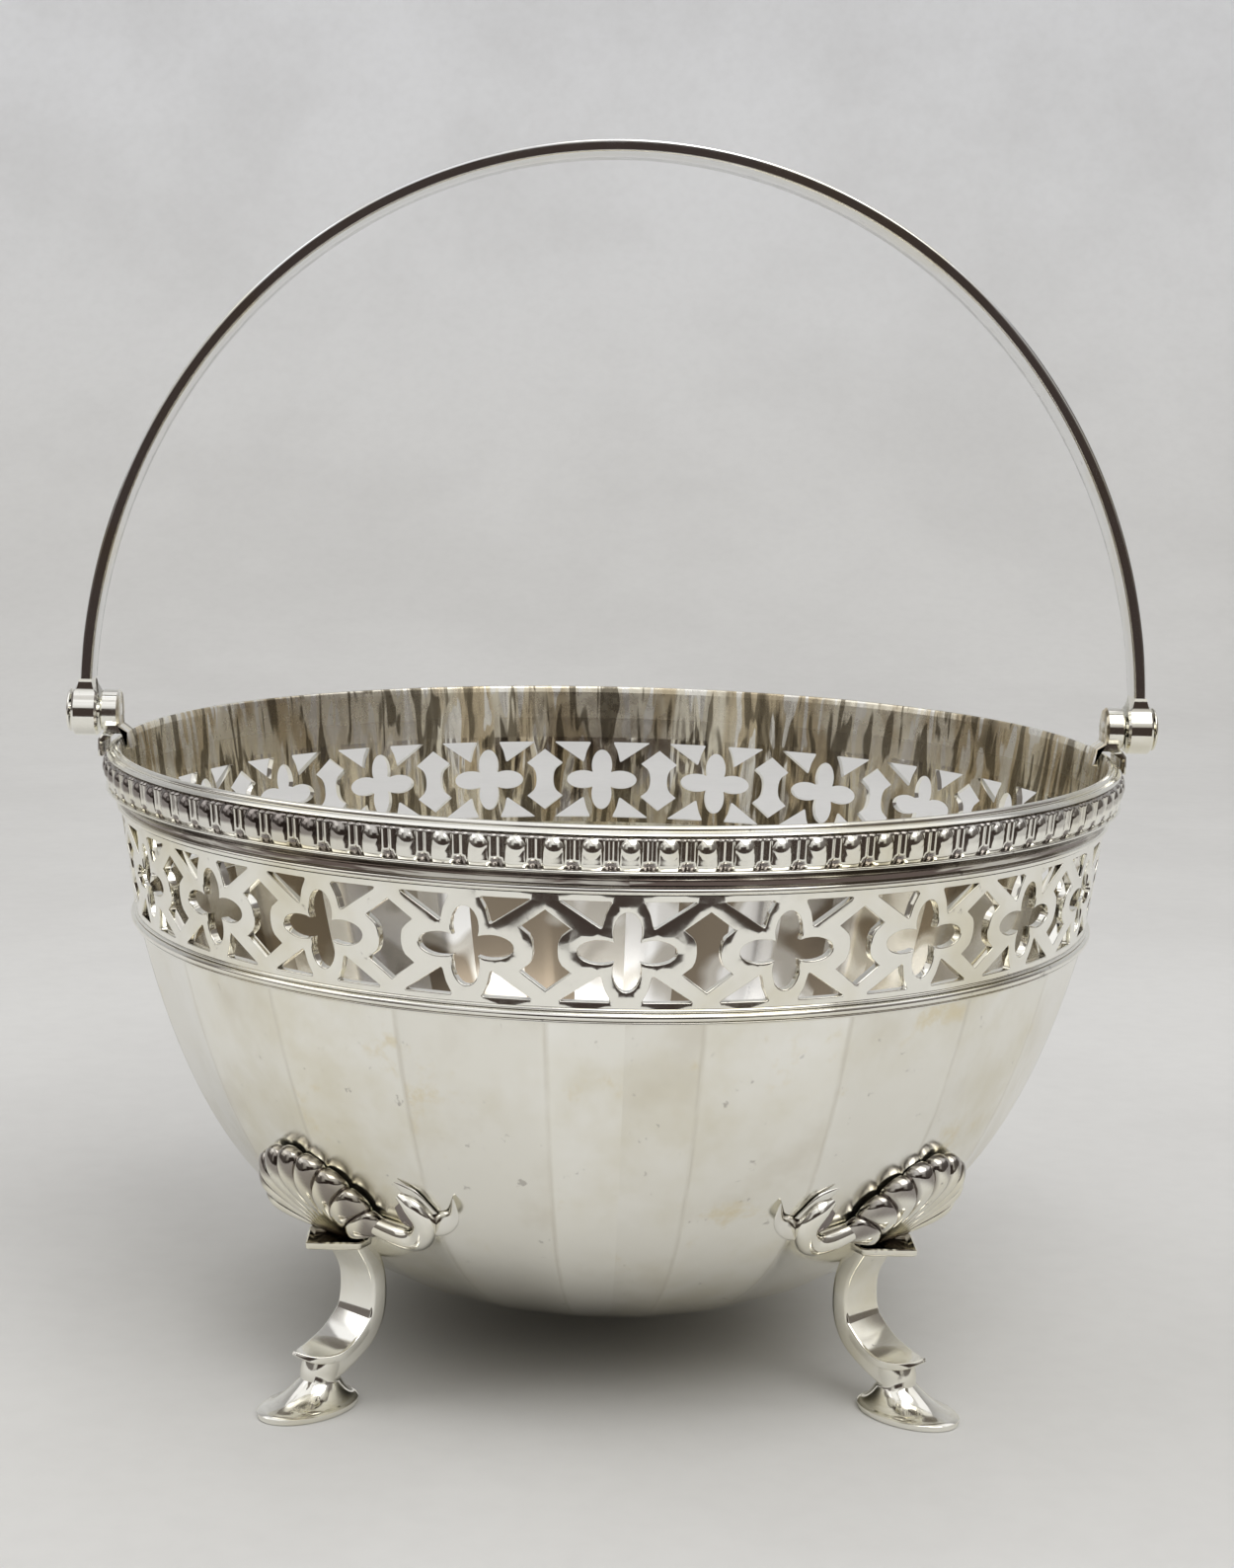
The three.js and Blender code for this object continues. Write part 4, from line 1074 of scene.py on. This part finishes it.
def shell():
    """Fan of rounded lobes, narrow on the ledge and spread against the bowl, with painted shade in its
    valleys and a painted dark reflection on the heads of its lobes.
    """
    rows, per_lobe = 30, 12
    columns = LOBES * per_lobe
    foot = LEDGE_Z + LEDGE_THICK * 0.4
    centre = LEDGE_Z + SHELL_CENTRE
    spread = math.radians(SHELL_ARC)
    face, back, painted_shade = [], [], []
    for row in range(rows + 1):
        along = row / rows
        swell = SHELL_EDGE + SHELL_SWELL * math.sin(math.pi / 2 * min(along / 0.8, 1))
        ridge = (0.5 + 0.7 * smooth(along / 0.7)) * (1 - 0.4 * rising(along, 0.72, 0.28))
        curl = dome(max(0.0, along - 0.6) / 0.4)
        for column in range(columns + 1):
            fan = (2 * column / columns - 1) * spread
            in_lobe = 2 * ((column / per_lobe) % 1) - 1 if column < columns else 1.0
            full = dome(in_lobe * 0.99)
            reach = SHELL_RADIUS - SHELL_SCALLOP * along * (1 - full)
            y = lerp(SHELL_FOOT, reach, along**1.2) * math.sin(fan)
            z = lerp(foot, centre + reach * math.cos(fan), along**0.9)
            wall = math.sqrt(bowl_radius(z) ** 2 - y**2)
            out = SHELL_GAP + (swell + ridge * full) * lerp(0.1, 1, curl)
            face.append((wall + out, y, z))
            back.append((wall + 0.1, y, z))
            # painted dark reflection on the heads of the lobes and painted shade in the valleys between
            # them
            head = rising(along + 0.14 * in_lobe, 0.74, 0.12) * (1 - 0.3 * rising(along, 0.9, 0.08))
            valley = smooth((0.72 - full) / 0.3) * rising(along, 0.12, 0.2)
            painted_shade.append(SHELL_SHADE * max(head, valley))
    count = columns + 1
    offset = len(face)
    faces = []
    for row in range(rows):
        for i in range(columns):
            a, b = row * count + i, row * count + i + 1
            c, d = b + count, a + count
            faces.append([a, b, c, d])
            faces.append([offset + a, offset + d, offset + c, offset + b])
    border = [(0, i) for i in range(columns)] + [(r, columns) for r in range(rows)]
    border += [(rows, i) for i in range(columns, 0, -1)] + [(r, 0) for r in range(rows, 0, -1)]
    loop = [r * count + i for r, i in border]
    for a, b in zip(loop, loop[1:] + loop[:1]):
        faces.append([a, b, offset + b, offset + a])
    return face + back, faces, painted_shade + [0.0] * len(back)


EAR_Y, EAR_Z, EAR_WIDE, EAR_TALL, EAR_TUBE = 14.6, 26.4, 6.6, 9.0, 1.3
# paths in shares of the half width, of the half height and of the tube
SCROLL_PATH = (
    (-1.8, -0.75, 0.9),
    (-0.7, -1.0, 1.15),
    (0.05, -0.85, 1.25),
    (0.6, -0.2, 1.25),
    (0.5, 0.5, 1.0),
    (0.0, 0.85, 0.45),
)
EYE_PATH = ((-0.4, 0.35, 0.5), (-0.05, 0.0, 1.3), (0.3, -0.3, 1.0))
LEAF_PATH = ((0.4, -0.2, 1.2), (1.15, 0.0, 1.3), (1.65, 0.35, 0.9), (1.9, 1.05, 0.12))
TIP_PATH = ((0.8, 0.2, 0.9), (0.5, 0.95, 0.75), (-0.1, 1.35, 0.12))


def tube_on_bowl(shape, side, flat, painted_shade_level):
    """A tube along a path on the bowl; flat is its thickness as a share of its width."""
    half_wide, half_tall = EAR_WIDE / 2, EAR_TALL / 2 - EAR_TUBE
    keys = [(EAR_Y + half_wide * a, EAR_Z + half_tall * b, EAR_TUBE * c) for a, b, c in shape]
    path = spline(keys, steps=10)
    narrow, lift, least = 0.95, 0.75, 0.05
    rings = []
    for i, (y, z, tube) in enumerate(path):
        before, after = path[max(i - 1, 0)], path[min(i + 1, len(path) - 1)]
        along = Vector((after[0] - before[0], after[1] - before[1])).normalized()
        wall = math.sqrt(bowl_radius(z) ** 2 - y * y)
        ring = []
        for c, s in circle(steps=24):
            across = narrow * tube * c
            out = wall + max(flat * tube * (lift + s), least)
            ring.append((out, side * (y - across * along.y), z + across * along.x))
        rings.append(ring)
    verts, faces = skin(rings)
    return verts, faces, [painted_shade_level] * len(verts)


WALL_BITE = 0.6  # how deep a foot ends in the bowl's wall, measured from a crease


def stopped_in_wall(verts, faces):
    """A part of a foot whose points end inside the thickness of the bowl's wall."""
    kept = []
    for x, y, z in verts:
        least = bowl_radius(z) - WALL_BITE
        if math.hypot(x, y) < least:
            x = math.sqrt(least**2 - y**2)
        kept.append((x, y, z))
    return kept, faces


# each foot with its turn in degrees and the side of its scroll
FEET = (("front_left", 225, 1), ("front_right", 315, -1), ("rear_left", 135, -1), ("rear_right", 45, 1))


def make_feet():
    common = [hoof(), stopped_in_wall(*leg()), spur(), stopped_in_wall(*ledge()), shell()]
    for corner, degrees, side in FEET:
        scroll = [
            # the eye of the scroll gets painted shade in its hollow; the leaf and its tip are a little
            # darker
            tube_on_bowl(SCROLL_PATH, side, flat=0.95, painted_shade_level=0.0),
            tube_on_bowl(EYE_PATH, side, flat=0.3, painted_shade_level=0.9),
            tube_on_bowl(LEAF_PATH, side, flat=0.35, painted_shade_level=0.15),
            tube_on_bowl(TIP_PATH, side, flat=0.35, painted_shade_level=0.15),
        ]
        form = joined(*common, *scroll)
        turn = Matrix.Rotation(math.radians(degrees), 4, "Z")
        verts = [turn @ v for v in form.verts]
        name, nodes = f"{corner}_shell_foot", [f"{corner}_foot"]
        make_piece(name, verts, form.faces, nodes, CAST_SILVER, CAST, sharp=50, painted_shade=form.painted_shade)


make_bowl()
make_waist_wire()
make_moulding()
make_lip()
make_border()
make_band()
make_hinges()
make_strap()
make_feet()


# Floor and backdrop, in metres

PAPER_FLOOR = (0.745, 0.74, 0.715, 1)
PAPER_WALL = (0.965, 0.98, 1.0, 1)
PAPER_CLOUD = (0.5, 0.49, 0.47, 1)
PAPER_GRAIN = (0.4, 0.39, 0.37, 1)
PAPER_SHADE = (0.16, 0.15, 0.125, 1)
WALL_FROM, WALL_TO = 0.0, 0.35  # heights between which the floor's colour becomes the wall's, a little bluer and painted lighter to stand in for light
SHADE_WIDE, SHADE_CORE = 0.047, 0.005
SHADE_SHIFT = (0.012, 0, 0)


def paper():
    """Matt backdrop paper with soft wrinkles, a little bluer up the wall and painted lighter there to
    stand in for light.
    """
    material = bpy.data.materials.new("paper")
    material.use_nodes = True
    n = Nodes(material.node_tree)
    place = n.add("TexCoord").outputs["Object"]
    height = n.add("SeparateXYZ", Vector=place).outputs["Z"]
    broad = n.noise(place, 9.0, 4.0, Roughness=0.6)
    grain = n.noise(place, 260.0, 3.0)
    # the wall's lighter colour is painted light
    colour = n.tint(PAPER_FLOOR, PAPER_WALL, height, WALL_FROM, WALL_TO)
    colour = n.tint(colour, PAPER_CLOUD, broad, 0.35, 0.7, 0.2)
    colour = n.tint(colour, PAPER_GRAIN, grain, 0.3, 0.8, 0.05)
    # the paper is shaded where the bowl comes close to it
    flat = n.vector("MULTIPLY_ADD", place, (1, 1, 3), SHADE_SHIFT)
    from_shade = n.vector("LENGTH", flat["Vector"])["Value"]
    colour = n.tint(colour, PAPER_SHADE, from_shade, SHADE_WIDE, SHADE_CORE, 0.75)
    bump = n.add("Bump", Height=broad, Strength=0.25, Distance=0.004)
    shader = n.add("BsdfPrincipled", Base_Color=colour, Normal=bump.outputs["Normal"])
    shader.inputs["Roughness"].default_value = 0.9
    shader.inputs["Specular IOR Level"].default_value = 0.1
    n.add("OutputMaterial", Surface=shader.outputs["BSDF"])
    return material


def make_sweep():
    """A floor that curves up into a wall behind the basket and ends a little before it."""
    near, far, bend, height, half = -0.176, 0.55, 0.35, 1.4, 1.8
    steps = 16
    profile = [(near, 0.0), (0.0, 0.0)]
    for k in range(steps + 1):
        a = math.pi / 2 * k / steps
        profile.append((far + bend * math.sin(a), bend - bend * math.cos(a)))
    profile.append((far + bend, height))
    verts = []
    for y, z in profile:
        verts += [(-half, y, z), (half, y, z)]
    faces = [[2 * k, 2 * k + 1, 2 * k + 3, 2 * k + 2] for k in range(len(profile) - 1)]
    mesh = bpy.data.meshes.new("paper_sweep")
    mesh.from_pydata(verts, [], faces)
    mesh.polygons.foreach_set("use_smooth", [True] * len(mesh.polygons))
    mesh.materials.append(paper())
    obj = bpy.data.objects.new("paper_sweep", mesh)
    bpy.context.scene.collection.objects.link(obj)


# Light

LIT_POINT = (0, 0, 0.05)
TENT_FOOT = (0.44, 0.43, 0.40, 1)
TENT_ROOF = (0.98, 0.98, 1.0, 1)
TENT_FOLD = (0.30, 0.27, 0.24, 1)
ROOM_FLOOR = (0.055, 0.042, 0.035, 1)
ROOM_SIDES = (0.10, 0.085, 0.08, 1)
TENT_OPENING = (0.05, 0.038, 0.034, 1)
TENT_STRENGTH = 1.01


def area_light(name, place, side, power):
    light = bpy.data.lights.new(name, "AREA")
    light.shape = "SQUARE"
    light.size = side
    light.energy = power
    obj = bpy.data.objects.new(name, light)
    obj.location = place
    obj.rotation_mode = "QUATERNION"
    obj.rotation_quaternion = (Vector(LIT_POINT) - Vector(place)).to_track_quat("-Z", "Y")
    bpy.context.scene.collection.objects.link(obj)


def make_world():
    """A pale tent, bright overhead, over a dark room, with a dark opening towards the viewer."""
    world = bpy.data.worlds.new("tent")
    bpy.context.scene.world = world
    world.use_nodes = True
    n = Nodes(world.node_tree)
    direction = n.add("TexCoord").outputs["Generated"]
    parts = n.add("SeparateXYZ", Vector=direction).outputs
    depth, height = parts["Y"], parts["Z"]
    aside = n.math("ABSOLUTE", parts["X"])
    folds = n.noise(direction, 2.6, 3.0, Roughness=0.55)
    colour = n.tint(TENT_FOOT, TENT_ROOF, height, -0.1, 0.75)
    colour = n.tint(colour, TENT_FOLD, folds, 0.46, 0.62, 0.5)
    colour = n.tint(colour, ROOM_FLOOR, height, 0.02, -0.06)
    # the room is dark at both sides, below the tent's roof
    sides = n.math("MULTIPLY", n.ramp(aside, 0.60, 0.74, end=0.85), n.ramp(height, 0.62, 0.5))
    colour = n.mix(sides, colour, ROOM_SIDES)
    opening = n.math("MULTIPLY", n.ramp(aside, 0.46, 0.34), n.ramp(depth, -0.4, -0.55))
    opening = n.math("MULTIPLY", opening, n.ramp(height, 0.32, 0.22))
    colour = n.mix(opening, colour, TENT_OPENING)
    shade = n.add("Background", Color=colour)
    shade.inputs["Strength"].default_value = TENT_STRENGTH
    n.add("OutputWorld", Surface=shade.outputs["Background"])


make_sweep()
make_world()
area_light("key", (0.3, -0.5, 0.95), 0.8, 3.9)
area_light("fill", (-0.8, -0.1, 0.6), 0.7, 1.0)

# Camera: its place and turns were fitted to the rim, the wire and the feet

CAMERA_PLACE = Vector((-10.1, -334.0, 121.2)) * MM
CAMERA_PITCH = 0.1529
CAMERA_ROLL = 0.0225
CAMERA_TURN = -0.0315
FOCAL_PIXELS = 2678.6
PHOTO_HEIGHT = 1588

camera = bpy.data.cameras.new("camera")
camera.sensor_width = 36
camera.lens = FOCAL_PIXELS / PHOTO_HEIGHT * camera.sensor_width
camera.clip_start = 0.01
eye = bpy.data.objects.new("camera", camera)
eye.location = CAMERA_PLACE
look = Matrix.Rotation(CAMERA_TURN, 4, "Z") @ Matrix.Rotation(math.pi / 2 - CAMERA_PITCH, 4, "X")
eye.rotation_mode = "QUATERNION"
eye.rotation_quaternion = (look @ Matrix.Rotation(CAMERA_ROLL, 4, "Z")).to_quaternion()
bpy.context.scene.collection.objects.link(eye)
bpy.context.scene.camera = eye
bpy.context.scene.view_settings.view_transform = "Standard"
